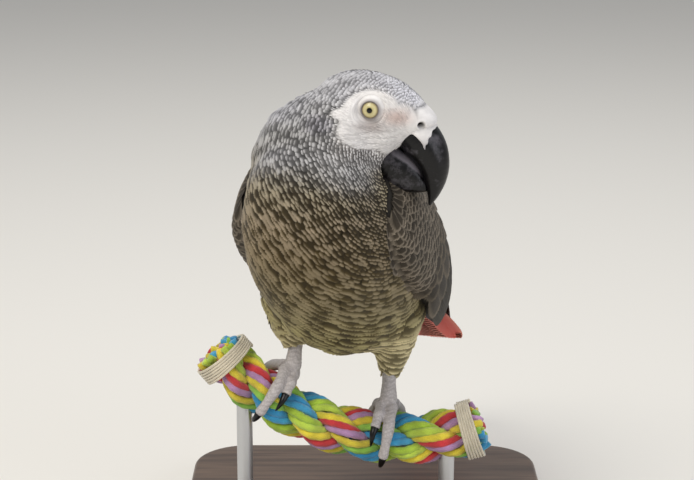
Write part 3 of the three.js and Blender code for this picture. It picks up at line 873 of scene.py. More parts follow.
@dataclass
class Plumage:
    """The coat of contour feathers: rows from bill to tail, each feather laid on the skin."""

    skin: Skin
    markings: Markings
    covers: list[Ground]
    # distance from the bill, row step, step across, length, width
    rows: tuple = (
        (0, 1.1, 1.25, 2.6, 1.7),
        (16, 1.25, 1.5, 3.0, 2.2),
        (30, 1.5, 1.9, 3.8, 3.0),
        (42, 1.55, 2.15, 4.4, 3.7),
        (55, 1.8, 2.9, 5.8, 5.3),
        (68, 2.15, 4.6, 7.8, 8.4),
        (90, 2.6, 7.4, 10.5, 13.4),
        (130, 2.8, 8.4, 12.0, 15.4),
        (230, 3.0, 8.8, 13.0, 15.6),
    )
    # distance from the bill, part of a visible tip that takes one change from pale rim to the middle
    # colour and the painted shade under the next row, and how much sooner that change comes at the sides;
    # negative values paint shade between the tips
    tip_rows: tuple = ((0, 0.95, 0.0), (12, 1.0, -0.1), (24, 0.95, -0.45), (48, 0.95, -0.55),
                       (62, 1.15, -0.1), (230, 1.25, 0.0))
    thigh_scale: float = 0.6
    brow_scale: float = 0.6
    shelter: float = 5.0
    bare_from: float = 0.55
    down_length: float = 1.7
    down_width: float = 0.55
    along_nodes: tuple = (0.0, 0.25, 0.5, 0.75, 1.0)
    across_nodes: tuple = (-1.0, 0.0, 1.0)

    def read(self, table: tuple, rise: Array, column: int) -> Array:
        """Reads one column of a table at distances from the bill."""
        table = np.array(table)
        return np.interp(rise, table[:, 0], table[:, column])

    def row_lines(self) -> list[float]:
        """Lists the distances from the bill at which rows of roots lie."""
        lines, at = [], 1.2
        while at < self.skin.rise.max() - 4:
            lines.append(at)
            at += float(self.read(self.rows, at, 1))
        return lines

    def line_places(self, level: float, phase: float, across: float) -> Array:
        """Spaces places along the closed lines where the distance from the bill has one value.

        Args:
            level: that distance.
            phase: part of a step by which the row is shifted.
            across: the step where feathers have their full size.

        Returns:
            The places.
        """
        net, rise = self.skin.net, self.skin.rise
        tris = np.concatenate([net.quads[:, [0, 1, 2]], net.quads[:, [0, 2, 3]]])
        high = rise[tris] > level
        a = tris[high.any(1) & ~high.all(1)]
        b = np.roll(a, -1, 1)
        crossed = (rise[a] > level) != (rise[b] > level)
        t = np.where(crossed, (level - rise[a]) / np.where(crossed, rise[b] - rise[a], 1), 0)
        points = (net.points[a] + t[..., None] * (net.points[b] - net.points[a]))[crossed].reshape(-1, 2, 3)
        keys = (np.minimum(a, b) * len(net.points) + np.maximum(a, b))[crossed].reshape(-1, 2)
        found = {}
        for ends, cuts in zip(keys.tolist(), points):
            for k in (0, 1):
                found.setdefault(ends[k], (cuts[k], []))[1].append(ends[1 - k])
        places, left = [], set(found)
        while left:
            here = max(left, key=lambda k: float(found[k][0] @ BODY.z)) if len(left) < 4000 else min(left)
            loop = []
            while here is not None:
                left.discard(here)
                loop.append(found[here][0])
                here = next((k for k in found[here][1] if k in left), None)
            if len(loop) < 6:
                continue
            line = np.array(loop + loop[:1])
            step = np.linalg.norm(np.diff(line, axis=0), axis=1)
            if step[-1] > 6:
                line, step = line[:-1], step[:-1]
            count = np.concatenate([[0], np.cumsum(step / (across * self.scale(line[:-1])))])
            total = max(3, round(count[-1]))
            want = (np.arange(total) + phase) * count[-1] / total
            places.append(np.stack([np.interp(want, count, line[:, k]) for k in range(3)], 1))
        return np.concatenate(places) if places else np.zeros((0, 3))

    def plant(self, rng: Rng) -> Tufts:
        """Sets the roots in rows and gives each feather its size.

        Args:
            rng: source of the small differences.

        Returns:
            The feathers that show.
        """
        roots, rises = [], []
        for number, level in enumerate(self.row_lines()):
            phase = 0.5 * (number % 2) + rng.uniform(-0.1, 0.1)
            roots.append(self.line_places(level, phase, float(self.read(self.rows, level, 2))))
            rises.append(np.full(len(roots[-1]), level))
        roots, rises = np.concatenate(roots), np.concatenate(rises)
        step, _, length, width = (self.read(self.rows, rises, k) for k in range(1, 5))
        roots = roots + rng.normal(0, 0.12, roots.shape) * step[:, None]
        roots, numbers, _ = self.skin.ground.nearest(roots)
        n = len(roots)
        small, wave = self.scale(roots), self.waves(roots)
        tufts = Tufts(
            roots=roots,
            numbers=numbers,
            length=length * small * rng.normal(1, 0.07, n),
            width=width * small * rng.normal(1, 0.07, n),
            yaw=rng.normal(0, 0.07, n) + 0.16 * wave[:, 0],
            lift=1 + rng.normal(0, 0.12, n) + 0.22 * wave[:, 1],
            luck=rng.uniform(0, 1, n),
        )
        bare = self.markings.face(roots) >= self.bare_from
        tufts.length = np.where(bare, self.down_length * rng.normal(1, 0.12, n), tufts.length)
        tufts.width = np.where(bare, self.down_width * rng.normal(1, 0.12, n), tufts.width)
        x, y, z = HEAD.local(roots).T
        keep = ~((np.hypot(x, z - EYE_UP) < 6.6) & (np.abs(y) > 9)) & ~(bare & (x > 15.5))
        normals = self.skin.normals[numbers]
        tips = roots + self.skin.flow[numbers] * tufts.length[:, None]
        for cover in self.covers:
            keep &= ~(cover.covers(roots, normals, self.shelter) & cover.covers(tips, normals, self.shelter))
        return tufts.chosen(keep)

    def scale(self, points: Array) -> Array:
        """Gives how much smaller the feathers are on the thighs and round the bare face."""
        return ((1 - (1 - self.thigh_scale) * self.skin.on_thigh(points))
                * (1 - (1 - self.brow_scale) * self.markings.beside_face(points)))

    @staticmethod
    def waves(points: Array) -> Array:
        """Gives two slow waves over the body that ruffle the rows a little."""
        a = np.sin(points @ (0.21, 0.13, 0.17)) + np.sin(points @ (-0.11, 0.19, 0.31) + 1.3)
        b = np.sin(points @ (0.16, -0.23, 0.29) + 0.4) + np.sin(points @ (0.33, 0.07, -0.12) + 2.1)
        return np.stack([a, b], 1) / 2

    def bed(self, tufts: Tufts) -> list[Array]:
        """Walks each feather's length over the skin and finds the ground on both sides.

        Args:
            tufts: the feathers.

        Returns:
            Places and normals of the ground under 5 by 3 points of each feather.
        """
        skin, here, numbers = self.skin, tufts.roots, tufts.numbers
        heading = skin.flow[numbers]
        side = np.cross(skin.normals[numbers], heading)
        heading = unit(heading * np.cos(tufts.yaw)[:, None] + side * np.sin(tufts.yaw)[:, None])
        stride = tufts.length[:, None] * (self.along_nodes[1] - self.along_nodes[0])
        rows = []
        for k in range(len(self.along_nodes)):
            if k:
                here, numbers, _ = skin.ground.nearest(here + heading * stride)
            up = skin.normals[numbers]
            heading = unit(heading * 0.75 + skin.flow[numbers] * 0.25)
            heading = unit(heading - (heading * up).sum(1)[:, None] * up)
            reach = np.cross(up, heading) * tufts.width[:, None] / 2
            left, left_numbers, _ = skin.ground.nearest(here - reach)
            right, right_numbers, _ = skin.ground.nearest(here + reach)
            rows.append((np.stack([left, here, right], 1),
                         np.stack([skin.normals[left_numbers], up, skin.normals[right_numbers]], 1)))
        return [np.stack(part, 1).reshape(len(here), -1, 3) for part in zip(*rows)]

    def lay(self, tufts: Tufts, vane: Vane, cup: float, thickness: float) -> Shell:
        """Makes the vanes of some feathers.

        Args:
            tufts: the feathers.
            vane: their template.
            cup: how far the sides drop below the middle, as a part of the half-width.
            thickness: of the vane at its shaft.

        Returns:
            The vanes as one shell with the values that their finish reads.
        """
        skin, roots = self.skin, tufts.roots
        flow, normals, rise = (part[tufts.numbers] for part in (skin.flow, skin.normals, skin.rise))
        length, half = tufts.length[:, None], (tufts.width / 2)[:, None]
        shell, form = vane.spread(len(roots))
        along, across, under = form.T
        weights = (lagrange(self.along_nodes, along)[:, :, None]
                   * lagrange(self.across_nodes, across)[:, None, :]).reshape(len(form), -1)
        ground, up = (np.einsum("vw,nwk->nvk", weights, part) for part in self.bed(tufts))
        height = skin.depth[tufts.numbers][:, None] * (0.08 + 0.86 * along * tufts.lift[:, None])
        height = height - cup * half * across**2 - thickness * under
        shell.points = (ground + unit(up) * height[:, :, None]).reshape(-1, 3)
        ends = (self.markings.colours(roots, rise, normals),
                self.markings.colours(roots + flow * length * 0.7, rise + tufts.length * 0.7, normals))
        centre, rim = (np.repeat((root + tip) / 2, len(form), 0) for root, tip in zip(*ends))
        visible = self.read(self.rows, rise, 1) * self.scale(roots) * self.read(self.tip_rows, rise, 1)
        sides = self.read(self.tip_rows, rise, 2)
        # painted shade: back is 0 at the tip and 1 where the next row covers the feather; past 0.6 the along
        # value darkens the feather as shade under that row
        back = (1 - along) * length / visible[:, None] - sides[:, None] * across**2
        back = back + 0.3 * (tufts.luck[:, None] - 0.5)
        back = back + 0.3 * self.waves(2.6 * ground.reshape(-1, 3))[:, 0].reshape(back.shape)
        back = back * (1 - 0.4 * self.markings.face(roots - 3.0 * flow)[:, None])
        back = np.where((self.markings.face(roots) >= self.bare_from)[:, None], 0.3, back)
        shell.values.update({
            "edge": np.clip(back, 0, 1).ravel(),
            "along": (1 - np.clip(back - 0.6, 0, 1)).ravel(),
            "centre": centre,
            "rim": rim,
            "luck": np.repeat(tufts.luck, len(form)),
            "barb": (along * length - 0.8 * np.abs(across) * half).ravel(),
        })
        return shell

    def bake_map(self, tufts: Tufts, form: Array, thigh: int) -> Array:
        """Gives each feather a small patch at its root's place on the skin, unrolled round its axis.

        Args:
            tufts: the feathers.
            form: the template's points.
            thigh: 0 for head, neck and trunk, or 1 and 2 for the right and left thigh.

        Returns:
            One place on the map for each point.
        """
        points, rise = tufts.roots, self.skin.rise[tufts.numbers]
        if thigh:
            x, y, _ = (points - SHIFT - ((-48.5, 0.0, 54.0), (-4.5, 4.0, 42.0))[thigh - 1]).T
            angle = np.arctan2(y, x)
        else:
            head, body = HEAD.local(points), BODY.local(points)
            angle = np.arctan2(-head[:, 1], head[:, 2] + 8)
            trunk = np.arctan2(body[:, 1], body[:, 2] + 15)
            angle = angle + smoothstep(35, 75, rise) * np.angle(np.exp(1j * (trunk - angle)))
        share = (rise - rise.min()) / (rise.max() - rise.min())
        return patches(0.01 + 0.98 * np.stack([(angle / (2 * math.pi)) % 1, share], 1), form[:, 1] / 2,
                       form[:, 0] - 0.5)

    def build(self, material: Material) -> None:
        """Makes every piece of the coat.

        Args:
            material: finish of the contour feathers.
        """
        tufts = self.plant(np.random.default_rng(SEED))
        rise = self.skin.rise[tufts.numbers]
        thigh = self.skin.on_thigh(tufts.roots) > 0.5
        right = tufts.roots[:, 0] < SHIFT[0] - 27
        behind = self.skin.normals[tufts.numbers] @ BODY.z > 0.2
        bare = self.markings.face(tufts.roots) >= self.bare_from
        down = Vane(3, columns=(0.0, 0.7))
        fine, mid, broad = Vane(5), Vane(9, blunt=2.2), Vane(15, blunt=2.3)
        parts = (
            ("face", bare, down, 0.0, 0.06, 0),
            ("head", ~bare & ~thigh & (rise < 32), fine, 0.08, 0.10, 0),
            ("cheeks", ~bare & ~thigh & (rise >= 32) & (rise < 56), fine, 0.08, 0.12, 0),
            ("neck", ~thigh & (rise >= 56) & (rise < 84) & ~behind, mid, 0.06, 0.15, 0),
            ("breast", ~thigh & (rise >= 84) & (rise < 112) & ~behind, broad, 0.05, 0.2, 0),
            ("belly", ~thigh & (rise >= 112) & ~behind, broad, 0.05, 0.2, 0),
            ("back", ~thigh & (rise >= 56) & behind, broad, 0.06, 0.2, 0),
            ("thigh_right", thigh & right, mid, 0.06, 0.15, 1),
            ("thigh_left", thigh & ~right, mid, 0.06, 0.15, 2),
        )
        for name, chosen, vane, cup, thickness, leg in parts:
            part = tufts.chosen(chosen)
            shell = self.lay(part, vane, cup, thickness)
            uv = self.bake_map(part, vane.build().points, leg)
            make_object(f"coat_{name}", shell, material, uv=uv, crease=42.0)


def patches(roots: Array, right: Array, up: Array) -> Array:
    """Gives each feather a small patch at its root's place on the map."""
    return (roots[:, None] + (np.stack([right, up], 1) * BAKE_PATCH)[None]).reshape(-1, 2)


@dataclass
class Blades:
    """Feathers given by the places of their roots and tips on a wing or tail, one row each."""

    root: Array
    tip: Array
    width: Array
    layer: Array
    centre: Array
    rim: Array

    @classmethod
    def toned(cls, root: Array, tip: Array, width: Array, layer: Array, tones: Sequence[str]) -> "Blades":
        """Makes feathers that share the colours of their middles and rims."""
        fill = [np.tile(linear(tone), (len(root), 1)) for tone in tones]
        return cls(root, tip, width, layer + np.zeros((len(root), 2)), *fill)


def core_values(rings: Array, shade: Sequence[float]) -> dict[str, Array]:
    """Gives the values that the feathers' finish reads to the plain core under them."""
    flat, shade = np.zeros(rings.shape[:2]), np.broadcast_to(shade, rings.shape)
    return {"centre": shade, "rim": shade, "edge": flat + 1, "along": flat + 1, "luck": flat + 0.5,
            "barb": flat}


def lay_blades(blades: Blades, vane: Vane, surface: Callable, span: Callable, rng: Rng,
               tilt: float = 0.0, cup: float = 0.06, thickness: float = 0.22, skew: float = 0.0,
               shaft: float = 0.0) -> Shell:
    """Lays feathers along a surface that is given by two numbers and a height.

    Args:
        blades: the feathers.
        vane: their template.
        surface: gives points from distance behind the shoulders, place across and height.
        span: gives the surface's breadth in millimetres at a distance behind the shoulders.
        rng: source of the small differences.
        tilt: how much higher one edge lies than the other, in millimetres.
        cup: how far the sides drop below the middle, as a part of the half-width.
        thickness: of the vane at its shaft.
        skew: how far the shaft lies towards the edge that shows, as a part of the half-width.
        shaft: height of the shaft's ridge.

    Returns:
        The feathers as one shell.
    """
    shell, form = vane.spread(len(blades.root))
    along, across, under = form.T
    half, way = (blades.width / 2)[:, None], blades.tip - blades.root
    moved = across - skew * (1 - across**2) * vane.half_width(along)
    at = blades.root[:, :1] + way[:, :1] * along
    place = blades.root[:, 1:] + way[:, 1:] * along + moved * half / span(at)
    height = blades.layer[:, :1] + (blades.layer[:, 1:] - blades.layer[:, :1]) * along
    height = height - tilt * moved - cup * half * across**2
    height = height + shaft * (np.abs(across) < 0.02) * (1 - along) * (under == 0)
    shell.points = surface(at, place, height - thickness * under).reshape(-1, 3)
    length = np.linalg.norm(way * (1, 0), axis=1)
    size = len(form)
    shell.values.update({
        "centre": np.repeat(blades.centre, size, 0),
        "rim": np.repeat(blades.rim, size, 0),
        "luck": np.repeat(rng.uniform(0, 1, len(way)), size),
        "barb": (along * length[:, None] - 0.8 * np.abs(across) * half).ravel(),
    })
    return shell


def patch_map(blades: Blades, form: Array, low: tuple[float, float], high: tuple[float, float]) -> Array:
    """Gives each feather of a tract a small patch at its root's place on the unrolled surface."""
    roots = 0.02 + 0.96 * (blades.root - low) / (np.array(high) - low)
    return patches(roots, form[:, 0] - 0.5, form[:, 1] / 2)


def strip_map(count: int, form: Array) -> Array:
    """Gives each of some long feathers a strip of its own on the map, from the template's points."""
    across = (np.arange(count)[:, None] + 0.5 + 0.45 * form[:, 1][None]) / count
    return np.stack([across, np.broadcast_to(0.02 + 0.96 * form[:, 0], across.shape)], -1).reshape(-1, 2)


class Side(Enum):
    """A side of the bird, with the sign of its place across the head's axes."""

    RIGHT = -1
    LEFT = 1


@dataclass
class Wing:
    """A folded wing: a thin core, rows of coverts, and long flight feathers that overlap."""

    side: Side
    # distance behind the shoulders, reach to the side, back, belly, lower and upper angle, thickness
    rows: tuple = (
        (-10, 33, 23, -44, 2, 28, 3.5),
        (-5, 36.5, 26, -51, -8, 48, 6),
        (4, 39.6, 29.5, -56, -16, 64, 8),
        (22, 41, 31, -59.5, -20, 70, 9),
        (50, 41, 31, -58, -22, 73, 9),
        (80, 37.5, 28, -50, -30, 75, 8),
        (110, 31.5, 23.5, -40, -31, 77, 6.5),
        (138, 24.5, 17.5, -23, -18, 78, 5),
        (170, 18.5, 13, -10, 8, 78, 4),
        (200, 14, 10.5, -4, 20, 76, 3.2),
        (222, 11, 9, -3, 32, 72, 2.4),
        (232, 9.5, 8, -3, 42, 66, 1.4),
    )
    coat: float = 2.0
    turn_in: float = 0.15
    # painted shade: the core is near black, so that where it shows between wing and body it reads as shadow
    core_shade_tone: str = "#26231f"
    # colours of a feather's middle and rim
    covert: tuple = ("#302920", "#645a4b")
    shoulder: tuple = ("#322b21", "#7c7264")
    secondary: tuple = ("#251e10", "#3b311e")
    primary: tuple = ("#2b261c", "#40392a")
    # painted shade: the flank feathers are near black, standing for shadow between body and wing
    flank_shade_tones: tuple = ("#1d1914", "#2c2720")

    def surface(self, at: Array, place: Array, height: Array) -> Array:
        """Gives points of the wing's outer face.

        Args:
            at: distance behind the shoulders.
            place: 0 at the lower edge to 1 at the upper edge.
            height: distance over the core, up to the coat's depth.

        Returns:
            The points.
        """
        at, place, height = np.broadcast_arrays(np.clip(at, -10, 232), place, height)
        reach, back, belly, low, high, thick = np.moveaxis(read_rows(self.rows, at), -1, 0)
        depth = np.minimum(self.coat, 0.5 * thick)
        turned = (1 - np.clip(place / self.turn_in, 0, 1)) * smoothstep(72, 40, at)
        turned = np.maximum(turned, 0.7 * np.clip((2 - at) / 12, 0, 1))
        out = depth * (height / self.coat - 1) - 0.75 * thick * (1 - np.sqrt(1 - turned**2))
        angle = np.radians(low + (high - low) * place)
        middle, half = (back + belly) / 2, (back - belly) / 2
        across = np.sign(np.cos(angle)) * np.abs(np.cos(angle)) ** (2 / BODY_POWER) * (reach + out)
        up = middle + np.sign(angle) * np.abs(np.sin(angle)) ** (2 / BODY_POWER) * (half + out)
        return body_place(at, -self.side.value * across, up)

    def span(self, at: Array) -> Array:
        """Gives the wing's breadth from its lower to its upper edge."""
        reach, back, belly, low, high, _ = np.moveaxis(read_rows(self.rows, at), -1, 0)
        return np.radians(high - low) * (reach + (back - belly) / 2) / 2

    def core(self) -> Shell:
        """Makes the closed blade under the feathers, near black as painted shade."""
        at = np.linspace(-9.5, 214, 90)[:, None]
        thick = read_rows(self.rows, at[:, 0])[:, 5][:, None]
        place = np.linspace(0.02, 0.98, 25)[None]
        inset = self.coat / np.minimum(self.coat, 0.5 * thick)
        round_edge = 0.35 * (1 - np.sin(math.pi * place) ** 0.35)
        outer = self.surface(at, place, -inset * thick * round_edge * 0.8)
        inner = self.surface(at, place, self.coat - inset * (thick * 0.9))
        rings = np.concatenate([outer, inner[:, ::-1]], 1)
        return loft(rings, core_values(rings, linear(self.core_shade_tone)))

    def tract(self, at: float, length: float, step: float, width: float, layer: tuple[float, float],
              tones: tuple[str, str], shift: float, rng: Rng,
              places: tuple[float, float] = (0.0, 1.0)) -> Blades:
        """Sets one row of coverts across the wing.

        Args:
            at: distance of the roots behind the shoulders.
            length: of a feather.
            step: distance between neighbours.
            width: of a feather.
            layer: height of root and tip over the core.
            tones: colours of middle and rim.
            shift: part of a step by which the row is moved.
            rng: source of the small differences.
            places: where the row starts and ends across the wing.

        Returns:
            The feathers.
        """
        room = float(self.span(np.array(at + 0.8 * length))) * (places[1] - places[0])
        count = max(3, round(room / step))
        place = places[0] + (np.arange(count) + 0.5 + shift) / count * (places[1] - places[0])
        start = at + rng.normal(0, 0.4, count) + 5.0 * (place - 0.5) ** 2
        end = start + length * rng.normal(1, 0.05, count)
        root, tip = np.stack([start, place], 1), np.stack([end, place + rng.normal(0, 0.006, count)], 1)
        layers = layer + rng.normal(0, 0.05, (count, 1))
        return Blades.toned(root, tip, width * rng.normal(1, 0.05, count), layers, tones)

    def coverts(self, rng: Rng) -> list[Blades]:
        """Lists the rows of coverts from the shoulder back, small to large."""
        rows = []
        at = -9.6
        while at < 33:
            size = 0.55 + 0.45 * float(smoothstep(-9, 14, at))
            rows.append(self.tract(at, 8.5 * size, 5.0 * size, 7.6 * size, (1.0, 1.95), self.shoulder,
                                   0.5 * (len(rows) % 2) - 0.25, rng, (-0.04, 1.02)))
            at += 3.1 * size
        rows.append(self.tract(33, 13, 6.5, 9.6, (0.9, 1.9), self.covert, 0.0, rng, (-0.02, 1.0)))
        rows.append(self.tract(38, 16, 7.5, 11, (0.8, 1.8), self.covert, 0.25, rng))
        rows.append(self.tract(46, 27, 8.5, 12.5, (0.7, 1.6), self.covert, 0.0, rng))
        return rows

    def shoulder_cape(self, rng: Rng) -> list[Blades]:
        """Lists the rows of scapulars, which cover the upper edge."""
        return [self.tract(at, 8.5 + 0.17 * at, 5.4, 7.2 + 0.07 * at, (1.6, 2.3), self.shoulder,
                           0.5 * (number % 2), rng, (0.8, 1.1))
                for number, at in enumerate(np.arange(2.0, 62.0, 4.2))]

    def secondaries(self) -> Blades:
        """Sets the secondaries and tertials, which end over the rump."""
        share = (np.arange(13) - 0.2) / 12.3
        root = np.stack([58 + 6 * share, 0.11 + 0.82 * share], 1)
        tip = np.stack([114 + 42 * np.sin(np.clip(share, 0, 1) * 2.0), 0.15 + 0.76 * share], 1)
        return Blades.toned(root, tip, 15.5 - 3 * share, (0.5, 1.5), self.secondary)

    def flank(self) -> Blades:
        """Sets the long feathers between body and wing, which close the space over the rump; they are near
        black as painted shade.
        """
        share = np.arange(6) / 5
        root = np.stack([64 + 0 * share, 0.3 * share - 0.12], 1)
        tip = np.stack([128 + 6 * share, 0.34 * share - 0.12], 1)
        return Blades.toned(root, tip, 15 + 0 * share, (-3.5, -13.0), self.flank_shade_tones)

    def primaries(self) -> Blades:
        """Sets the primaries, whose tips step back along the tail."""
        share = np.arange(8) / 7
        root = np.stack([92 + 0 * share, 0.16 + 0.6 * share], 1)
        tip = np.stack([231 - 62 * share**1.3, 0.34 + 0.42 * share], 1)
        layers = np.stack([0.1 + 0.3 * share, 0.5 + 1.0 * share], 1)
        return Blades.toned(root, tip, 12.5 + 0 * share, layers, self.primary)

    def build(self, material: Material) -> None:
        """Makes the wing's pieces.

        Args:
            material: finish of the wing's feathers.
        """
        rng = np.random.default_rng(SEED + self.side.value)
        name = self.side.name.lower()
        core = self.core()
        local = BODY.local(core.points)
        turn = 0.5 + np.arctan2(local[:, 2], np.abs(local[:, 1])) / math.pi
        make_object(f"wing_{name}_core", core, material, (f"wing_{name}", f"flight_{name}"),
                    np.stack([(local[:, 0] + 12) / 246, turn], 1))
        small = Vane(8)
        form = small.build().points
        for part, rows in (("coverts", self.coverts(rng)), ("scapulars", self.shoulder_cape(rng))):
            shells = [lay_blades(b, small, self.surface, self.span, rng, tilt=0.15, cup=0.10) for b in rows]
            uv = np.concatenate([patch_map(b, form, (-14, -0.1), (110, 1.2)) for b in rows])
            make_object(f"wing_{name}_{part}", joined(shells), material, uv=uv, crease=42.0)
        ribbed = Vane(34, columns=(0.0, 0.07, 0.45, 0.95), last=0.965, lean=0.05, widest=0.5, root=0.55)
        for part, blades in (("secondaries", self.secondaries()), ("primaries", self.primaries()),
                             ("flank", self.flank())):
            shell = lay_blades(blades, ribbed, self.surface, self.span, rng, tilt=0.45, cup=0.03,
                               thickness=0.3, skew=0.28, shaft=0.35)
            uv = strip_map(len(blades.root), ribbed.build().points)
            make_object(f"wing_{name}_{part}", shell, material, uv=uv, crease=42.0)


@dataclass
class Tail:
    """The square red tail: a core, twelve stacked rectrices, and coverts round its base."""

    # distance behind the shoulders, half-width, upper and lower face
    rows: tuple = (
        (118, 9, 7, -8),
        (140, 12, 8, -7),
        (165, 13, 5.5, -4.5),
        (190, 13.6, 3.8, -3),
        (215, 14.2, 2.6, -1.8),
        (231, 13.4, 1.8, -1),
        (238, 9.5, 1, -0.6),
    )
    pairs: int = 6
    red: tuple = ("#e6452f", "#f98a70")

    def outline(self, at: Array) -> Array:
        """Gives half-width, middle level and half-thickness at distances behind the shoulders."""
        wide, top, bottom = np.moveaxis(read_rows(self.rows, at), -1, 0)
        return np.stack([wide, (top + bottom) / 2, (top - bottom) / 2])

    def ring(self, at: Array, place: Array, height: Array) -> Array:
        """Gives points round the tail.

        Args:
            at: distance behind the shoulders.
            place: part of a turn, 0 and 1 at the lower middle.
            height: distance over the outline.

        Returns:
            The points.
        """
        at, place, height = np.broadcast_arrays(at, place, height)
        wide, middle, half = self.outline(at)
        angle = 2 * math.pi * place - math.pi / 2
        return body_place(at, (wide + height) * np.cos(angle), middle + (half + height) * np.sin(angle))

    def girth(self, at: Array) -> Array:
        """Gives the length once round the tail."""
        wide, _, half = self.outline(at)
        return math.pi * (wide + half) * 1.1

    def stacked(self, at: Array, place: Array, height: Array) -> Array:
        """Gives points of the rectrices.

        Args:
            at: distance behind the shoulders.
            place: part of the half-width, from -1 to 1.
            height: level in the stack, from -1 to 1.

        Returns:
            The points.
        """
        at, place, height = np.broadcast_arrays(at, place, height)
        wide, middle, half = self.outline(np.clip(at, 118, 238))
        room = np.sqrt(np.clip(1 - 0.55 * place**2, 0.15, 1))
        return body_place(at, place * wide, middle + half * height * room)

    def half_width(self, at: Array) -> Array:
        """Gives half the tail's breadth."""
        return self.outline(np.clip(at, 118, 238))[0]

    def build(self, material: Material) -> None:
        """Makes the tail's pieces.

        Args:
            material: finish of the tail's feathers.
        """
        rng = np.random.default_rng(SEED + 7)
        at = np.linspace(119, 206, 40)[:, None]
        place = np.linspace(0, 1, 33)[:-1][None]
        rings = self.ring(at, place, -0.3 * read_rows(self.rows, at[:, 0])[:, 1][:, None] - 0.6)
        core = loft(rings, core_values(rings, np.array(linear(self.red[0])) * 0.6))
        local = BODY.local(core.points)
        uv = np.stack([(local[:, 0] - 112) / 130, 0.5 + np.arctan2(local[:, 2], local[:, 1]) / 6.4], 1)
        make_object("tail_core", core, material, ("tail",), uv)

        order = np.tile(np.arange(self.pairs), 2)
        sign = np.repeat([-1, 1], self.pairs)
        place = sign * (0.10 + 0.62 * order / (self.pairs - 1))
        root = np.stack([126 + 0 * place, place * 0.6], 1)
        tip = np.stack([237.5 - 1.2 * order, place], 1)
        level = 0.86 - 1.7 * (order + 0.25 * (sign > 0)) / self.pairs
        blades = Blades.toned(root, tip, 17.0 + 0 * place, level[:, None], self.red)
        vane = Vane(26, columns=(0.0, 0.07, 0.45, 0.95), last=0.97, lean=0.05, widest=0.75, root=0.5)
        shell = lay_blades(blades, vane, self.stacked, self.half_width, rng, cup=0.008, thickness=0.05,
                           shaft=0.05)
        uv = strip_map(len(place), vane.build().points)
        make_object("tail_rectrices", shell, material, uv=uv)

        rows = []
        for number, at in enumerate(np.arange(116.0, 158.0, 5.0)):
            count = round(float(self.girth(np.array(at))) / 8.5)
            place = (np.arange(count) + 0.5 * (number % 2) + 0.01) / count
            start = at + rng.normal(0, 0.6, count)
            tip = np.stack([start + 20 + rng.normal(0, 1.0, count), place], 1)
            root = np.stack([start, place], 1)
            rows.append(Blades.toned(root, tip, np.full(count, 12.0), (-1.3, -0.2), self.red))
        small = Vane(10)
        shells = [lay_blades(b, small, self.ring, self.girth, rng, cup=0.08) for b in rows]
        uv = np.concatenate([patch_map(b, small.build().points, (110, -0.02), (165, 1.05)) for b in rows])
        make_object("tail_coverts", joined(shells), material, uv=uv)


# --- eyes, bill and feet
@dataclass
class Eye:
    """One eyeball, with its distance from the line of sight kept for the iris."""

    side: Side
    rings: int = 72
    spokes: int = 64

    def build(self, material: Material) -> None:
        """Makes the eyeball with a slightly bulging cornea.

        Args:
            material: the eye's finish.
        """
        turn = np.linspace(0, math.pi, self.rings + 1)[1:-1, None] ** 1.15 / math.pi**0.15
        spoke = np.linspace(0, 2 * math.pi, self.spokes + 1)[None, :-1]
        bulge = 0.22 * np.exp(-((np.sin(turn) * EYE_RADIUS / 2.6) ** 2)) * (turn < math.pi / 2)
        radius = EYE_RADIUS - 0.12 + bulge
        out = self.side.value * (EYE_DEPTH + radius * np.cos(turn) - 0.1) + 0 * spoke
        aside = radius * np.sin(turn)
        points = HEAD.place(aside * np.cos(spoke), out, EYE_UP + aside * np.sin(spoke))
        ring = np.where(turn < math.pi / 2, EYE_RADIUS * np.sin(turn), EYE_RADIUS) + 0 * spoke
        shell = loft(points, {"ring": ring})
        shell.values["ring"][-2:] = (0.0, EYE_RADIUS)
        name = self.side.name.lower()
        make_object(f"eyeball_{name}", shell, material, (f"eye_{name}",))


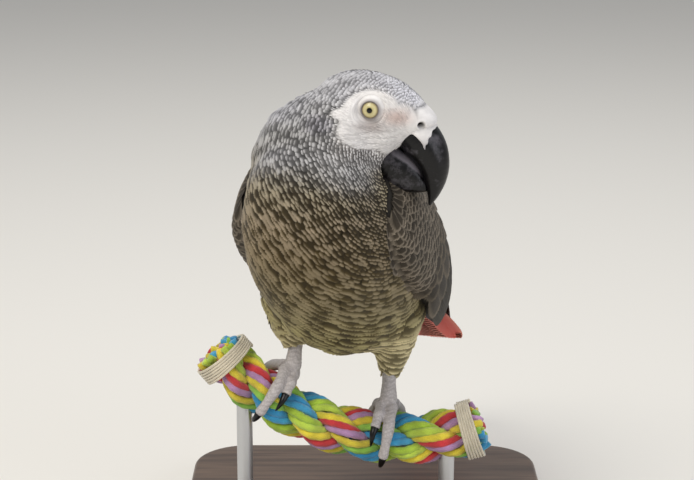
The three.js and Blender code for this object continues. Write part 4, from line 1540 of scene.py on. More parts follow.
@dataclass
class Bill:
    """The hooked upper half and the scoop of the lower half."""

    # step, ridge forward and up, edge forward and up, half-width; the first step is in the head
    upper_rows: tuple = (
        (-1, 16.5, -1.2, 5.5, -12.4, 8.6),
        (0, 21.5, -3.6, 10.8, -15.6, 9.2),
        (1, 25.8, -7.6, 13.6, -18.8, 9.2),
        (2, 29.4, -13.6, 17.2, -22, 8),
        (3, 31.1, -21, 20.3, -26, 6.4),
        (4, 30.5, -27.8, 22.2, -30.2, 4.6),
        (5, 28.2, -34, 23.7, -34.6, 2.6),
        (6, 25.3, -38.7, 24.2, -38.2, 0.9),
    )
    lower_rows: tuple = (
        (-1, 3.0, -10.6, -3.0, -22.6, 8.4),
        (0, 7.6, -15, 2.4, -28, 9.0),
        (1, 12, -16.6, 7.6, -32.6, 8.8),
        (2, 16.8, -19.8, 13.6, -33.9, 7.5),
        (3, 20.4, -24, 19, -33.9, 5.7),
        (4, 22.8, -28.4, 23.4, -32.9, 3.4),
    )
    # part by which the ridge is narrower than the edge, and squareness of the section
    upper_form: tuple = (0.28, 2.4)
    lower_form: tuple = (0.0, 2.6)
    powdered: str = "#8d898d"

    def section(self, rows: tuple, at: Array, sides: int, form: tuple, wave: Array) -> Array:
        """Makes the rings of a bill half.

        Args:
            rows: its table.
            at: steps at which the rings lie.
            sides: points of a ring.
            form: how much narrower the ridge is, and the squareness.
            wave: growth ridges at each ring.

        Returns:
            The rings.
        """
        pinch, power = form
        ridge_x, ridge_z, edge_x, edge_z, half = read_rows(rows, at).T
        ridge, edge = HEAD.place(ridge_x, 0 * at, ridge_z), HEAD.place(edge_x, 0 * at, edge_z)
        height = np.linalg.norm(ridge - edge, axis=1) / 2 + 0.4 * wave
        angle = np.linspace(0, 2 * math.pi, sides + 1)[None, :-1]
        c, s = np.cos(angle), np.sin(angle)
        narrow = 1 - pinch * np.clip(s, 0, 1) ** 2
        across = np.sign(c) * np.abs(c) ** (2 / power) * (half + wave)[:, None] * narrow
        rise = np.sign(s) * np.abs(s) ** (2 / power) * height[:, None]
        return ((ridge + edge) / 2)[:, None] + across[:, :, None] * HEAD.y \
            + rise[:, :, None] * unit(ridge - edge)[:, None]

    def half(self, lower: bool) -> Shell:
        """Makes one half of the bill with faint growth ridges.

        Args:
            lower: which half; the cutting edge of the lower one is pale, partly worn and partly a painted
                highlight.

        Returns:
            The shell with the powder and the painted highlights that lie on it.
        """
        rows, form, steps, seed = ((self.lower_rows, self.lower_form, 80, 1.9) if lower
                                   else (self.upper_rows, self.upper_form, 110, 0.4))
        at = np.linspace(rows[0][0], rows[-1][0], steps)
        wave = 0.05 * np.sin(at * 31 + seed) * np.sin(at * 12.7 + 2 * seed) + 0.04 * np.sin(at * 57 + seed)
        rings = self.section(rows, at, 72, form, wave)
        share = np.broadcast_to(np.linspace(0, 1, steps)[:, None], rings.shape[:2])
        turn = np.sin(np.linspace(0, 2 * math.pi, 73)[None, :-1]) + 0 * share
        if lower:
            # a pale strip on the lower half's cutting edge: partly wear and partly painted highlight
            worn = smoothstep(0.5, 0.7, turn) * smoothstep(0.97, 0.85, turn) * smoothstep(0.2, 0.35, share)
            return loft(rings, {"dust_and_highlight": 0.04 + 0.6 * worn * smoothstep(0.9, 0.6, share)})
        # painted highlight: more powder tone on the upper half's sides
        flank = smoothstep(0.1, 0.25, share) * smoothstep(0.65, 0.4, share)
        flank = flank * smoothstep(0.25, 0.5, turn) * smoothstep(0.95, 0.75, turn)
        return loft(rings, {"dust_and_highlight": 0.12 * flank - 0.1 * share})

    def cere(self) -> Shell:
        """Makes the white skin that runs from the nostrils down both sides of the upper half.

        Returns:
            A closed shell that rises from the horn only inside the cere's outline.
        """
        at = np.linspace(-0.9, 2.0, 90)
        rings = self.section(self.upper_rows, at, 120, self.upper_form, 0 * at)
        normal = unit(np.cross(np.gradient(rings, axis=0), np.roll(rings, -1, 1) - np.roll(rings, 1, 1)))
        normal *= np.sign((normal * (rings - rings.mean(1, keepdims=True))).sum(-1, keepdims=True))
        x, _, z = np.moveaxis(HEAD.local(rings.reshape(-1, 3)).reshape(rings.shape), -1, 0)
        nostril = np.hypot(x - 19.5, z + 4.6)
        inside = np.minimum(np.hypot(x - 14.5, z + 16.5) - 7.8, 24.3 + 0.28 * (z + 6.3) - x)
        inside = np.minimum(inside, nostril - 1.5) + 0.25 * np.sin(2.3 * x + 1.7 * z)
        rings = rings + normal * (-0.6 + 1.05 * smoothstep(-0.5, 0.6, inside))[..., None]
        white = np.tile(linear(Markings.white[0]), (x.size, 1))
        tone = tinted(white, self.powdered, (0.7 * smoothstep(-8.0, -15.0, z)).ravel())
        # painted shade: the nostril's hole is near black
        tone = (tone * (1 - 0.97 * smoothstep(2.0, 1.4, nostril).reshape(-1, 1))).reshape(rings.shape)
        return loft(rings, {"tone": tone})

    def build(self, material: Material, skin: Material) -> None:
        """Makes both halves and the cere."""
        make_object("cere", self.cere(), skin)
        make_object("horn_bill_upper", self.half(False), material, ("bill_upper",))
        make_object("horn_bill_lower", self.half(True), material, ("bill_lower",))


def rope_place(along: Array, over: Array, distance: Array) -> Array:
    """Gives points round the rope, whose centreline is an arc of a ring.

    Args:
        along: angle along the ring in degrees, 0 at its lowest point.
        over: angle in degrees from the ring's inner side over the front.
        distance: from the rope's centreline.

    Returns:
        The points.
    """
    along, over, distance = np.broadcast_arrays(np.radians(along), np.radians(over), distance)
    inner = np.stack([-np.sin(along), 0 * along, np.cos(along)], -1)
    out = inner * np.cos(over)[..., None] + np.array((0, -1, 0)) * np.sin(over)[..., None]
    return SHIFT + (0, 0, Rope.ring) - Rope.ring * inner + out * distance[..., None]


def tube(path: Array, radius: Array, sides: int, bumps: Callable | None = None) -> Shell:
    """Makes a closed tube along a path, with axes carried along without a twist.

    Args:
        path: points.
        radius: at each point.
        sides: points of a ring.
        bumps: gives the factor of the radius from the ring's number and the angle.

    Returns:
        The shell, with the length along it as a value.
    """
    ahead = unit(np.gradient(path, axis=0))
    frames = [unit(np.cross(ahead[0], (0.3, 0.5, 0.81)))]
    for way in ahead[1:]:
        frames.append(unit(frames[-1] - way * (frames[-1] @ way)))
    normal = np.array(frames)
    angle = np.linspace(0, 2 * math.pi, sides + 1)[None, :-1]
    size = radius[:, None] * (bumps(np.arange(len(path))[:, None], angle) if bumps else 1 + 0 * angle)
    rings = path[:, None] + (size * np.cos(angle))[:, :, None] * normal[:, None] \
        + (size * np.sin(angle))[:, :, None] * np.cross(ahead, normal)[:, None]
    return loft(rings, {"length": np.broadcast_to(lengths(path)[:, None], size.shape)})


def lengths(path: Array) -> Array:
    """Gives the length along a path at each of its points."""
    return np.concatenate([[0], np.cumsum(np.linalg.norm(np.diff(path, axis=0), axis=1))])


@dataclass(frozen=True)
class Toe:
    """Place of one toe: sideways start and end along the rope, where its pad ends, which way."""

    start: float
    end: float
    reach: float
    way: int


@dataclass
class Foot:
    """A foot with two toes before and two behind, scutes on their tops, and four claws."""

    side: Side
    along: float
    ankle: tuple
    toes: dict
    radius: float = 2.8
    claw_sweep: float = 40.0
    voxel: float = 0.42

    def path(self, toe: Toe, start: float, end: float, steps: int, lift: Callable) -> Array:
        """Gives the centreline of a toe or claw round the rope.

        Args:
            toe: its place.
            start: angle over the rope at the start.
            end: angle at the end.
            steps: number of points.
            lift: gives the distance over the rope from the share of the way.

        Returns:
            The points.
        """
        share = np.linspace(0, 1, steps)
        over = start + (end - start) * share
        sideways = toe.start + (toe.end - toe.start) * np.minimum(1.3, over / toe.reach)
        along = self.along + np.degrees(sideways / Rope.ring)
        return rope_place(along, toe.way * over, Rope.radius + lift(share) + 0.3)

    def toe_radius(self, share: Array) -> Array:
        """Gives the radius of a toe, with pads between its joints."""
        return self.radius - 0.7 * share + 0.2 * np.cos(share * 4 * math.pi)

    def limbs(self) -> list[tuple[Array, Array]]:
        """Lists the centreline and radius of each toe and of the shank."""
        share = np.linspace(0, 1, 40)
        limbs = [(self.path(toe, 6, toe.reach + 4, 40, self.toe_radius), self.toe_radius(share))
                 for toe in self.toes.values()]
        hub, knuckle = (rope_place(self.along, 0, Rope.radius + self.radius + over) for over in (0.9, 3.4))
        rise = np.linspace(0, 1, 30)[:, None]
        shank = np.concatenate([hub[None], knuckle + (SHIFT + self.ankle - knuckle) * rise])
        return limbs + [(shank, np.concatenate([[3.3], 3.9 - 0.8 * np.minimum(rise[:, 0] * 2, 1)]))]

    def scutes(self, net: Net, limbs: list[tuple[Array, Array]]) -> tuple[Array, Array]:
        """Finds where each place of the foot lies on its limb.

        Args:
            net: the foot's surface.
            limbs: centreline and radius of each limb.

        Returns:
            The length along the limb, and 1 on its top to -1 below, at each point.
        """
        normals, count = net.normals(), len(net.points)
        best, share, top = np.full(count, 1e9), np.zeros(count), np.zeros(count)
        for number, (path, radius) in enumerate(limbs):
            gap = np.linalg.norm(net.points[:, None] - path[None], axis=2)
            nearest = gap.argmin(1)
            reach = gap[np.arange(count), nearest] / radius[nearest]
            closer = reach < best
            best = np.where(closer, reach, best)
            ahead = unit(np.gradient(path, axis=0))[nearest]
            step = ((net.points - path[nearest]) * ahead).sum(1)
            share = np.where(closer, lengths(path)[nearest] + step, share)
            local = path[nearest] - SHIFT
            core = rope_place(np.degrees(np.arctan2(local[:, 0], Rope.ring - local[:, 2])), 0, 0)
            outward = (0.0, -1.0, 0.0) if number == len(limbs) - 1 else unit(path[nearest] - core)
            top = np.where(closer, (normals * outward).sum(1), top)
        return share, top

    def build(self, skin: Material, horn: Material) -> None:
        """Makes the foot and its claws.

        Args:
            skin: finish of scaly skin.
            horn: finish of the claws.
        """
        name = self.side.name.lower()
        limbs = self.limbs()
        shell = fused([tube(path, radius, 20) for path, radius in limbs], self.voxel)
        net = Net(shell.points, shell.faces)
        net.points = places = net.blurred(net.points, 6)
        share, top = self.scutes(net, limbs)
        share = share + 0.7 * np.sin(places @ (0.9, 0.5, -0.7)) + 0.35 * np.sin(places @ (-1.3, 1.9, 1.1))
        scute = np.abs(np.sin(math.pi * share / 2.1)) ** 0.5
        above = smoothstep(-0.1, 0.5, top)
        grain = np.sin(places @ (4.1, 1.3, 2.2)) * np.sin(places @ (-1.7, 4.4, 1.9)) \
            * np.sin(places @ (1.1, -2.3, 4.3))
        lift = 0.2 * (scute - 0.6) * above + (0.16 - 0.08 * above) * grain
        # darker in the grooves between scutes and on the undersides that face the rope
        darkening = 0.8 * (1 - scute) * above + 0.45 * (1 - above) + 0.12 * grain
        made = Shell(places + net.normals() * lift[:, None], net.faces, {"grooves_and_undersides": darkening})
        make_object(f"scaly_foot_{name}", made, skin, (f"foot_{name}",))
        for toe_name, toe in self.toes.items():
            node = f"claw_{name}_{toe_name}"
            make_object(f"horn_{node}", self.claw(toe), horn, (node,))

    def claw(self, toe: Toe) -> Shell:
        """Makes one curved claw, rooted in its toe.

        Args:
            toe: its toe.

        Returns:
            The claw.
        """
        path = self.path(toe, toe.reach + 2, toe.reach + self.claw_sweep, 28,
                         lambda t: 2.1 + 1.2 * np.sin(math.pi * t) - 1.2 * t)
        shell = tube(path, 1.75 * (1 - np.linspace(0, 1, 28)) ** 0.75 + 0.12, 18)
        shell.values = {"dust_and_highlight": np.full(len(shell.points), -0.05)}
        return shell


# --- perch and stand
@dataclass
class Rope:
    """Laid rope: three strands of dyed cotton yarns, bound with twine at both cut ends."""

    ring = 103.0
    radius = 11.7
    lead: float = 60.0
    offset: float = 5.5
    strand_radius: float = 6.2
    start: float = -53.0
    end: float = 19.0
    yarn_radius: float = 1.75
    yarn_offset: float = 4.45
    steps: int = 170
    plies: int = 3
    dyes: tuple = ("#2f8fc0", "#3f9fcb", "#a9c83c", "#b9d24a", "#e3cf3a", "#c8343a", "#b48ab4", "#d8c53a",
                   "#8cbf4a")
    turns: int = 6
    twine_radius: float = 0.62
    whipping_length: float = 7.0

    def yarn(self, strand: int, number: int, rng: Rng) -> Shell:
        """Makes one yarn of a strand.

        Args:
            strand: 0 to 2.
            number: place in the strand.
            rng: source of the small differences.

        Returns:
            The yarn with its dye.
        """
        count = len(self.dyes)
        start, end = self.start + rng.uniform(-0.5, 0.6), self.end + rng.uniform(-0.6, 0.5)
        along = np.linspace(start, end, self.steps)
        travelled = np.radians(along) * self.ring
        lay = 2 * math.pi / self.lead
        turn = 2 * math.pi * strand / 3 + travelled * lay
        swing = 2 * math.pi * number / count - travelled * lay * (1 + self.offset / self.yarn_offset)
        swing = swing + 0.12 * np.sin(travelled * 0.11 + rng.uniform(0, 6))
        slope = np.abs(np.sin(swing)) * 0.5 - np.cos(swing) * math.sqrt(0.75)
        room = (self.offset * math.sqrt(0.75) - 0.2) / np.maximum(slope, 1e-6)
        out = np.clip(np.minimum(self.strand_radius, room) - self.yarn_radius, 0.6, self.yarn_offset)
        p = self.offset * np.cos(turn) + out * np.cos(turn + swing)
        q = self.offset * np.sin(turn) + out * np.sin(turn + swing)
        path = rope_place(along, np.degrees(np.arctan2(q, p)), np.hypot(p, q))
        phase = rng.uniform(0, 6)
        thick = self.yarn_radius * (1 + 0.08 * np.sin(travelled * 0.21 + rng.uniform(0, 6)))
        shell = tube(path, thick, 14, lambda step, angle: 0.90 + 0.14 * np.abs(
            np.cos((angle - 0.42 * step + phase) * self.plies / 2)))
        worn = 1 + 0.10 * np.sin(shell.values["length"] * 0.9 + phase)
        shell.values["dye"] = worn[:, None] * linear(self.dyes[(number + 3 * strand) % count])
        return shell

    def whipping(self, start: float) -> Shell:
        """Makes the turns of twine round one end.

        Args:
            start: angle along the ring where they start.

        Returns:
            The twine.
        """
        steps = self.turns * 40
        share = np.linspace(0, 1, steps)
        along = start + np.degrees(self.whipping_length / self.ring) * share
        path = rope_place(along, 360 * self.turns * share, self.radius + 0.25 + self.twine_radius)
        return tube(path, np.full(steps, self.twine_radius), 8,
                    lambda step, angle: 0.92 + 0.1 * np.abs(np.cos(angle + 0.5 * step)))

    def build(self, cotton: Material, twine: Material) -> None:
        """Makes the rope and its whippings.

        Args:
            cotton: finish of the dyed yarns.
            twine: finish of the bare twine.
        """
        rng = np.random.default_rng(SEED + 3)
        for strand in range(3):
            yarns = [self.yarn(strand, number, rng) for number in range(len(self.dyes))]
            make_object(f"rope_strand_{strand + 1}", joined(yarns), cotton,
                        (f"perch_strand_{strand + 1}",))
        width = np.degrees(self.whipping_length / self.ring)
        for name, start in (("left", self.start + 1), ("right", self.end - 1 - width)):
            make_object(f"twine_{name}", self.whipping(start), twine,
                        (f"perch_whipping_{name}",))


@dataclass
class Stand:
    """Flat wooden base with rounded edges and two steel rods that carry the rope."""

    corner: float = 26.0
    round_over: float = 2.2
    rod_radius: float = 3.5
    rod_angles: tuple = (("left", -43.5), ("right", 10.3))

    def base(self) -> Shell:
        """Makes the base from rings that follow its rounded corners."""
        low, high = node_box("stand_base")
        middle, half = (low + high) / 2, (high - low) / 2
        bow = [(1 - math.sin(t), 1 - math.cos(t)) for t in np.linspace(0, math.pi / 2, 7)]
        profile = [(inset, low[2]) for inset in (10.0, 30.0, 60.0)]
        profile += [(self.round_over * s, low[2] + self.round_over * c) for s, c in bow]
        profile += [(self.round_over * c, high[2] - self.round_over * s) for s, c in bow]
        profile += [(inset, high[2]) for inset in (10.0, 30.0, 60.0)]
        turn = np.linspace(0, math.pi / 2, 13)
        rings = []
        for inset, z in profile:
            r = max(self.corner - inset, 1.0)
            x, y = half[:2] - inset - r
            for k, (cx, cy) in enumerate(((x, y), (-x, y), (-x, -y), (x, -y))):
                angle = turn + k * math.pi / 2
                rings.append(np.stack([middle[0] + (cx + r * np.cos(angle)),
                                       middle[1] + (cy + r * np.sin(angle)), 0 * turn + z], 1))
        return loft(np.array(rings).reshape(len(profile), -1, 3))

    def rod(self, angle: float) -> Shell:
        """Makes one rod from the base into the rope, with a collar at its foot.

        Args:
            angle: along the ring where it meets the rope.

        Returns:
            The rod.
        """
        top = rope_place(angle, 0, 0) - (0, 0, 5.0)
        floor = node_box("stand_base")[1][2] - 1.0
        profile = [(floor, 6.0), (floor + 2.6, 6.0), (floor + 3.0, 5.7), (floor + 3.1, self.rod_radius)]
        profile += [(z, self.rod_radius) for z in np.linspace(floor + 3.6, top[2], 12)]
        turn = np.linspace(0, 2 * math.pi, 49)[:-1]
        rings = [np.stack([top[0] + r * np.cos(turn), top[1] + r * np.sin(turn), 0 * turn + z], 1)
                 for z, r in profile]
        return loft(np.array(rings))

    def build(self, wood: Material, steel: Material) -> None:
        """Makes the base and the rods."""
        make_object("base_board", self.base(), wood, ("stand_base",))
        for name, angle in self.rod_angles:
            make_object(f"steel_rod_{name}", self.rod(angle), steel, (f"stand_rod_{name}",))


# --- finishes
class Finish:
    """What all finishes share: one material whose shader gets what the finish's surface gives."""

    name: str

    def material(self) -> Material:
        """Makes the material."""
        made = bpy.data.materials.new(self.name)
        made.use_nodes = True
        feed(made.node_tree, made.node_tree.nodes["Principled BSDF"], self.surface(made.node_tree))
        return made


@dataclass(frozen=True)
class FeatherFinish(Finish):
    """Keratin vanes grown in rows of barbs: matt, with a soft sheen at grazing angles."""

    name: str
    barb_spacing: float = 0.55
    roughness: float = 0.72
    sheen: float = 0.1
    base_shade: float = 0.5
    variety: float = 0.34
    rim_end: float = 0.85

    def surface(self, tree: Tree) -> dict:
        """Colours a feather from pale rim to middle, streaked, with painted shade towards its root and where
        others cover it.

        Args:
            tree: the material's nodes.

        Returns:
            What feeds the shader.
        """
        names = ("centre", "rim", "edge", "along", "luck", "barb")
        centre, rim, edge, along, luck, barb = (add(tree, "Attribute", attribute_name=n) for n in names)
        inside = add(tree, "MapRange", {"Value": edge.outputs["Fac"], "From Min": 0.2,
                                        "From Max": self.rim_end}, interpolation_type="SMOOTHSTEP")
        tone = add(tree, "Mix", {0: inside, 6: rim, 7: centre}, data_type="RGBA")
        # barbs are 0.3 mm apart; about twice as coarse here, so that they still show as fine streaks
        phase = add(tree, "Math", {0: barb.outputs["Fac"], 1: 2 * math.pi / self.barb_spacing},
                    operation="MULTIPLY")
        streak = add(tree, "Math", {0: phase}, operation="SINE")
        # painted shade: darker towards the root and where the row above covers the feather, down to
        # base_shade
        root = add(tree, "MapRange", {"Value": along.outputs["Fac"], "From Min": 0.35, "From Max": 0.95,
                                      "To Min": self.base_shade})
        change = add(tree, "Math", {0: luck.outputs["Fac"], 1: self.variety, 2: 1 - self.variety / 2},
                     operation="MULTIPLY_ADD")
        fine = add(tree, "Math", {0: streak, 1: 0.07, 2: 1.0}, operation="MULTIPLY_ADD")
        light = add(tree, "Math", {0: root, 1: change}, operation="MULTIPLY")
        light = add(tree, "Math", {0: light, 1: fine}, operation="MULTIPLY")
        return {
            "Base Color": add(tree, "VectorMath", {0: tone.outputs[2], "Scale": light}, operation="SCALE"),
            "Normal": add(tree, "Bump", {"Height": streak, "Strength": 0.25, "Distance": 0.0001}),
            "Roughness": self.roughness,
            "Sheen Weight": self.sheen,
            "Sheen Roughness": 0.5,
            "Specular IOR Level": 0.2,
        }


@dataclass(frozen=True)
class BareSkinFinish(Finish):
    """Living skin powdered with feather dust: matt and nearly white on the face."""

    name: str = "powdered_bare_skin"
    pore_spacing: float = 0.9

    def surface(self, tree: Tree) -> dict:
        """Mottles the tone of each place softly and adds pores that show on the face.

        Args:
            tree: the material's nodes.

        Returns:
            What feeds the shader.
        """
        tone = add(tree, "Attribute", attribute_name="tone")
        place = add(tree, "TexCoord").outputs["Object"]
        mottle = add(tree, "TexNoise", {"Vector": place, "Scale": 240.0, "Detail": 5.0})
        light = add(tree, "MapRange", {"Value": mottle, "From Min": 0.3, "From Max": 0.7, "To Min": 0.90,
                                       "To Max": 1.06})
        pores = add(tree, "TexVoronoi", {"Vector": place, "Scale": 1 / (self.pore_spacing * MM)})
        return {
            "Base Color": add(tree, "VectorMath", {0: tone, "Scale": light}, operation="SCALE"),
            "Normal": add(tree, "Bump", {"Height": pores, "Strength": 0.35, "Distance": 0.0002}),
            "Roughness": 0.7,
            "Specular IOR Level": 0.2,
        }


@dataclass(frozen=True)
class EyeFinish(Finish):
    """Wet cornea over the iris: dark pupil, pale straw iris with darker rim, hard highlight."""

    name: str = "wet_eye"

    def surface(self, tree: Tree) -> dict:
        """Rings the iris by the distance from the line of sight, under a clear coat.

        Args:
            tree: the material's nodes.

        Returns:
            What feeds the shader.
        """
        ring = add(tree, "Attribute", attribute_name="ring")
        share = add(tree, "Math", {0: ring.outputs["Fac"], 1: 4.0}, operation="DIVIDE")
        iris = add(tree, "ValToRGB", {0: share}, stops=(
            (0.0, "#040404"), (0.25, "#050505"), (0.275, "#857c56"), (0.34, "#c4b985"), (0.52, "#d6cb99"),
            (0.66, "#ccc08e"), (0.735, "#ab9d74"), (0.79, "#9c8e72"), (0.85, "#75675a"), (1.0, "#2b2521")))
        place = add(tree, "TexCoord").outputs["Object"]
        fibre = add(tree, "TexNoise", {"Vector": place, "Scale": 1500.0})
        light = add(tree, "MapRange", {"Value": fibre, "To Min": 0.85, "To Max": 1.12})
        return {
            "Base Color": add(tree, "VectorMath", {0: iris, "Scale": light}, operation="SCALE"),
            "Roughness": 0.25,
            "IOR": 1.376,
            "Specular IOR Level": 0.25,
            "Coat Weight": 0.5,
            "Coat Roughness": 0.03,
        }


@dataclass(frozen=True)
class HornFinish(Finish):
    """Black keratin, worn smooth: semi-gloss, with pale powder from the bird's down, whose tone also paints
    highlights.
    """

    name: str = "black_horn"
    base: str = "#070608"
    powder_and_highlight: str = "#6f6b72"

    def surface(self, tree: Tree) -> dict:
        """Lays powder and painted highlights in streaks over near black, rougher where they lie.

        Args:
            tree: the material's nodes.

        Returns:
            What feeds the shader.
        """
        place = add(tree, "TexCoord").outputs["Object"]
        dust_and_highlight = add(tree, "Attribute", attribute_name="dust_and_highlight")
        cloud = add(tree, "TexNoise", {"Vector": place, "Scale": 170.0, "Detail": 6.0, "Roughness": 0.65})
        dust_and_highlight = add(tree, "Math", {0: cloud, 1: dust_and_highlight.outputs["Fac"]}, operation="ADD")
        mask = add(tree, "MapRange", {"Value": dust_and_highlight, "From Min": 0.54, "From Max": 0.86, "To Max": 0.8})
        tone = add(tree, "Mix", {0: mask, 6: self.base, 7: self.powder_and_highlight}, data_type="RGBA")
        return {
            "Base Color": tone.outputs[2],
            "Roughness": add(tree, "MapRange", {"Value": mask, "To Min": 0.3, "To Max": 0.6}),
            "Normal": add(tree, "Bump", {"Height": cloud, "Strength": 0.2, "Distance": 0.0003}),
            "IOR": 1.54,
            "Specular IOR Level": 0.3,
        }


@dataclass(frozen=True)
class ScalySkinFinish(Finish):
    """Dry horny scales on the feet: grey, matt, paler on their tops than in the grooves and on the toes'
    undersides.
    """

    name: str = "scaly_foot_skin"
    top: str = "#c6c0bf"
    grooves_and_undersides: str = "#827b78"

    def surface(self, tree: Tree) -> dict:
        """Makes grey scales with darker grooves, darker undersides and small cells.

        Args:
            tree: the material's nodes.

        Returns:
            What feeds the shader.
        """
        place = add(tree, "TexCoord").outputs["Object"]
        grooves_and_undersides = add(tree, "Attribute", attribute_name="grooves_and_undersides")
        # scales are 0.8 to 1.2 mm across
        cells = add(tree, "TexVoronoi", {"Vector": place, "Scale": 1000.0}, feature="DISTANCE_TO_EDGE")
        gap = add(tree, "MapRange", {"Value": cells, "From Max": 0.16, "To Min": 0.5, "To Max": 0.0})
        deep = add(tree, "Math", {0: gap, 1: grooves_and_undersides.outputs["Fac"]}, operation="MAXIMUM")
        tone = add(tree, "Mix", {0: deep, 6: self.top, 7: self.grooves_and_undersides}, data_type="RGBA")
        return {
            "Base Color": tone.outputs[2],
            "Normal": add(tree, "Bump", {"Height": gap, "Strength": 0.4, "Distance": 0.0002}, invert=True),
            "Roughness": 0.62,
        }


@dataclass(frozen=True)
class CottonFinish(Finish):
    """Spun cotton: matt and fuzzy, with fine fibres that catch light at grazing angles."""

    name: str
    colour: str | None = None

    def surface(self, tree: Tree) -> dict:
        """Breaks up the yarn's dye, or one colour, by fibres.

        Args:
            tree: the material's nodes.

        Returns:
            What feeds the shader.
        """
        place = add(tree, "TexCoord").outputs["Object"]
        # fibres are 0.02 mm thick; drawn as bundles of 0.4 mm, so that they show
        fibre = add(tree, "TexNoise", {"Vector": place, "Scale": 2400.0, "Detail": 3.0})
        patch = add(tree, "TexNoise", {"Vector": place, "Scale": 120.0, "Detail": 2.0})
        both = add(tree, "Math", {0: fibre, 1: patch}, operation="ADD")
        light = add(tree, "MapRange", {"Value": both, "From Min": 0.7, "From Max": 1.3, "To Min": 0.72,
                                       "To Max": 1.15})
        if self.colour:
            source = add(tree, "RGB").outputs[0]
            source.default_value = (*linear(self.colour), 1)
        else:
            source = add(tree, "Attribute", attribute_name="dye")
        return {
            "Base Color": add(tree, "VectorMath", {0: source, "Scale": light}, operation="SCALE"),
            "Normal": add(tree, "Bump", {"Height": fibre, "Strength": 0.5, "Distance": 0.0003}),
            "Roughness": 0.88,
            "Sheen Weight": 0.35,
            "Sheen Roughness": 0.6,
            "Specular IOR Level": 0.2,
        }


@dataclass(frozen=True)
class WoodFinish(Finish):
    """Beech stained dark, planed and lacquered: satin, with grain lines along its length."""

    name: str = "stained_beech"
    light: str = "#6b5645"
    dark: str = "#4a392c"

    def surface(self, tree: Tree) -> dict:
        """Stains the grain under a satin lacquer.

        Args:
            tree: the material's nodes.

        Returns:
            What feeds the shader.
        """
        place = add(tree, "TexCoord").outputs["Object"]
        # grain lines are 2 to 4 mm apart and many centimetres long
        stretch = add(tree, "Mapping", {"Vector": place, "Scale": (14.0, 190.0, 190.0)})
        grain = add(tree, "TexNoise", {"Vector": stretch, "Scale": 1.6, "Detail": 6.0, "Distortion": 0.4})
        return {
            "Base Color": add(tree, "ValToRGB", {0: grain}, stops=((0.35, self.dark), (0.65, self.light))),
            "Normal": add(tree, "Bump", {"Height": grain, "Strength": 0.12, "Distance": 0.0003}),
            "Roughness": 0.42,
            "Coat Weight": 0.3,
            "Coat Roughness": 0.25,
        }


@dataclass(frozen=True)
class SteelFinish(Finish):
    """Drawn stainless steel rod, brushed lengthwise: soft streaked reflections."""

    name: str = "brushed_steel"
    colour: str = "#c5c6c8"

    def surface(self, tree: Tree) -> dict:
        """Brushes the metal along its length.

        Args:
            tree: the material's nodes.

        Returns:
            What feeds the shader.
        """
        place = add(tree, "TexCoord").outputs["Object"]
        stretch = add(tree, "Mapping", {"Vector": place, "Scale": (2500.0, 2500.0, 40.0)})
        brush = add(tree, "TexNoise", {"Vector": stretch, "Scale": 1.0, "Detail": 3.0})
        rough = add(tree, "MapRange", {"Value": brush, "To Min": 0.22, "To Max": 0.42})
        return {"Roughness": rough, "Base Color": self.colour, "Metallic": 1.0}


@dataclass(frozen=True)
class PaperFinish(Finish):
    """Seamless studio paper, uncoated: matt and plain."""

    name: str = "studio_paper"
    colour: str = "#e9e6df"

    def surface(self, tree: Tree) -> dict:
        """Gives pale paper a faint tooth."""
        tooth = add(tree, "TexNoise", {"Vector": add(tree, "TexCoord").outputs["Object"], "Scale": 900.0})
        bump = add(tree, "Bump", {"Height": tooth, "Strength": 0.05, "Distance": 0.0002})
        return {"Normal": bump, "Base Color": self.colour, "Roughness": 0.9}


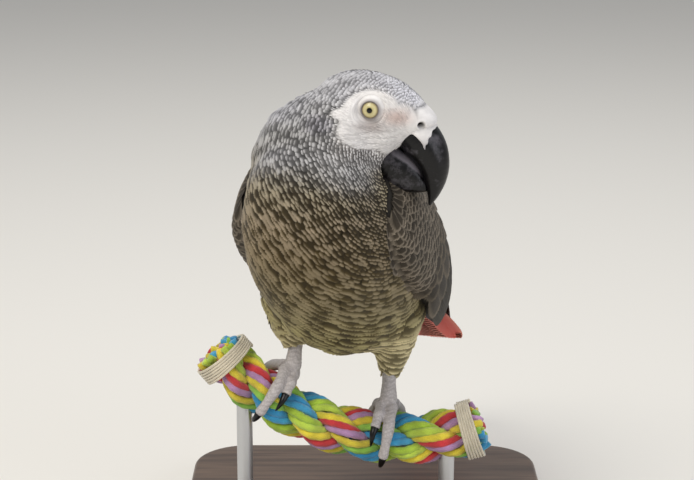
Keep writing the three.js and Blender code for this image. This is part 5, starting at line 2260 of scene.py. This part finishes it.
# --- studio
@dataclass
class Studio:
    """Pale floor, soft lights and the camera."""

    aim: tuple = (-25.7, 7.6, 88.4)
    elevation: float = 14.0
    distance: float = 0.8
    lens: float = 95.4
    floor_half: float = 6.0
    # name, place in metres, side in metres, power in watts, colour of each softbox
    lights: tuple = (
        ("key", (-0.75, -1.0, 1.45), 0.9, 19.0, "#fffaf2"),
        ("fill", (1.3, -0.9, 0.6), 1.1, 7.0, "#f4f6ff"),
        ("top", (0.1, 0.5, 1.6), 0.8, 9.0, "#ffffff"),
    )
    air: str = "#eef0f4"
    air_strength: float = 0.42

    def aimed(self, name: str, data: bpy.types.ID, place: Vector) -> bpy.types.Object:
        """Sets up a lamp or camera that looks at the bird.

        Args:
            name: its name.
            data: what it is.
            place: where it stands, in metres.

        Returns:
            The new object.
        """
        made = bpy.data.objects.new(name, data)
        made.location = place
        target = Vector((SHIFT + self.aim) * MM)
        made.rotation_euler = (target - place).to_track_quat("-Z", "Y").to_euler()
        bpy.context.scene.collection.objects.link(made)
        return made

    def build(self, paper: Material) -> None:
        """Sets up floor, lights, world and camera.

        Args:
            paper: finish of the floor.
        """
        scene = bpy.context.scene
        half = self.floor_half
        mesh = bpy.data.meshes.new("studio_floor")
        mesh.from_pydata([(-half, -half, 0), (half, -half, 0), (half, half, 0), (-half, half, 0)], [],
                         [(0, 1, 2, 3)])
        mesh.materials.append(paper)
        floor = bpy.data.objects.new("studio_floor", mesh)
        scene.collection.objects.link(floor)
        for name, place, size, power, colour in self.lights:
            lamp = bpy.data.lights.new(name, "AREA")
            lamp.size, lamp.energy, lamp.color = size, power, linear(colour)
            self.aimed(name, lamp, Vector(place))
        world = bpy.data.worlds.new("studio_air")
        world.use_nodes = True
        feed(world.node_tree, world.node_tree.nodes["Background"],
             {"Color": self.air, "Strength": self.air_strength})
        scene.world = world
        scene.view_settings.view_transform = "Standard"
        lens = bpy.data.cameras.new("portrait")
        lens.lens, lens.sensor_width, lens.clip_start = self.lens, 36.0, 0.01
        rise = math.radians(self.elevation)
        away = Vector((0, -math.cos(rise), math.sin(rise))) * self.distance
        scene.camera = self.aimed("portrait", lens, Vector((SHIFT + self.aim) * MM) + away)


FEET = (
    Foot(Side.RIGHT, -35.5, (-47.6, 3.0, 46.0), {
        "outer_front": Toe(-2.4, -1.5, 104, 1),
        "inner_front": Toe(2.6, 3.4, 50, 1),
        "outer_hind": Toe(-2.4, -9.0, 94, -1),
        "inner_hind": Toe(2.4, 6.0, 56, -1),
    }),
    Foot(Side.LEFT, -5.0, (-7.0, 4.0, 31.0), {
        "outer_front": Toe(2.0, -0.6, 104, 1),
        "inner_front": Toe(-2.8, -5.6, 52, 1),
        "outer_hind": Toe(2.4, 10.0, 94, -1),
        "inner_hind": Toe(-2.4, -6.0, 56, -1),
    }),
)


def wing_cover(side: Side) -> Ground:
    """Gives the solids of one folded wing as a surface that hides what lies under it."""
    name = side.name.lower()
    shell = joined([solid_shell(f"{part}_{name}", 0.0) for part in ("wing", "flight")])
    return Ground(shell.points, np.concatenate(shell.faces))


def main() -> None:
    """Builds the bird, its perch, the stand and the studio."""
    logging.basicConfig(level=logging.INFO, format="%(name)s %(message)s")
    markings = Markings()
    coat = FeatherFinish("contour_feather").material()
    wing = FeatherFinish("wing_feather", 0.7, 0.65, 0.03, 0.6, 0.5, 1.2).material()
    tail = FeatherFinish("tail_feather", barb_spacing=0.7, roughness=0.6, base_shade=0.8).material()
    horn = HornFinish().material()

    Studio().build(PaperFinish().material())
    skin = Skin(markings)
    skin.grow()
    bare = BareSkinFinish().material()
    skin.build(bare)
    eye = EyeFinish().material()
    for side in Side:
        Eye(side).build(eye)
    Bill().build(horn, bare)
    Plumage(skin, markings, [wing_cover(side) for side in Side]).build(coat)
    for side in Side:
        Wing(side).build(wing)
    Tail().build(tail)
    scaly = ScalySkinFinish().material()
    for foot in FEET:
        foot.build(scaly, horn)
    Rope().build(CottonFinish("dyed_cotton_yarn").material(),
                 CottonFinish("undyed_cotton_twine", "#d9cfb8").material())
    Stand().build(WoodFinish().material(), SteelFinish().material())


if __name__ == "__main__":
    main()
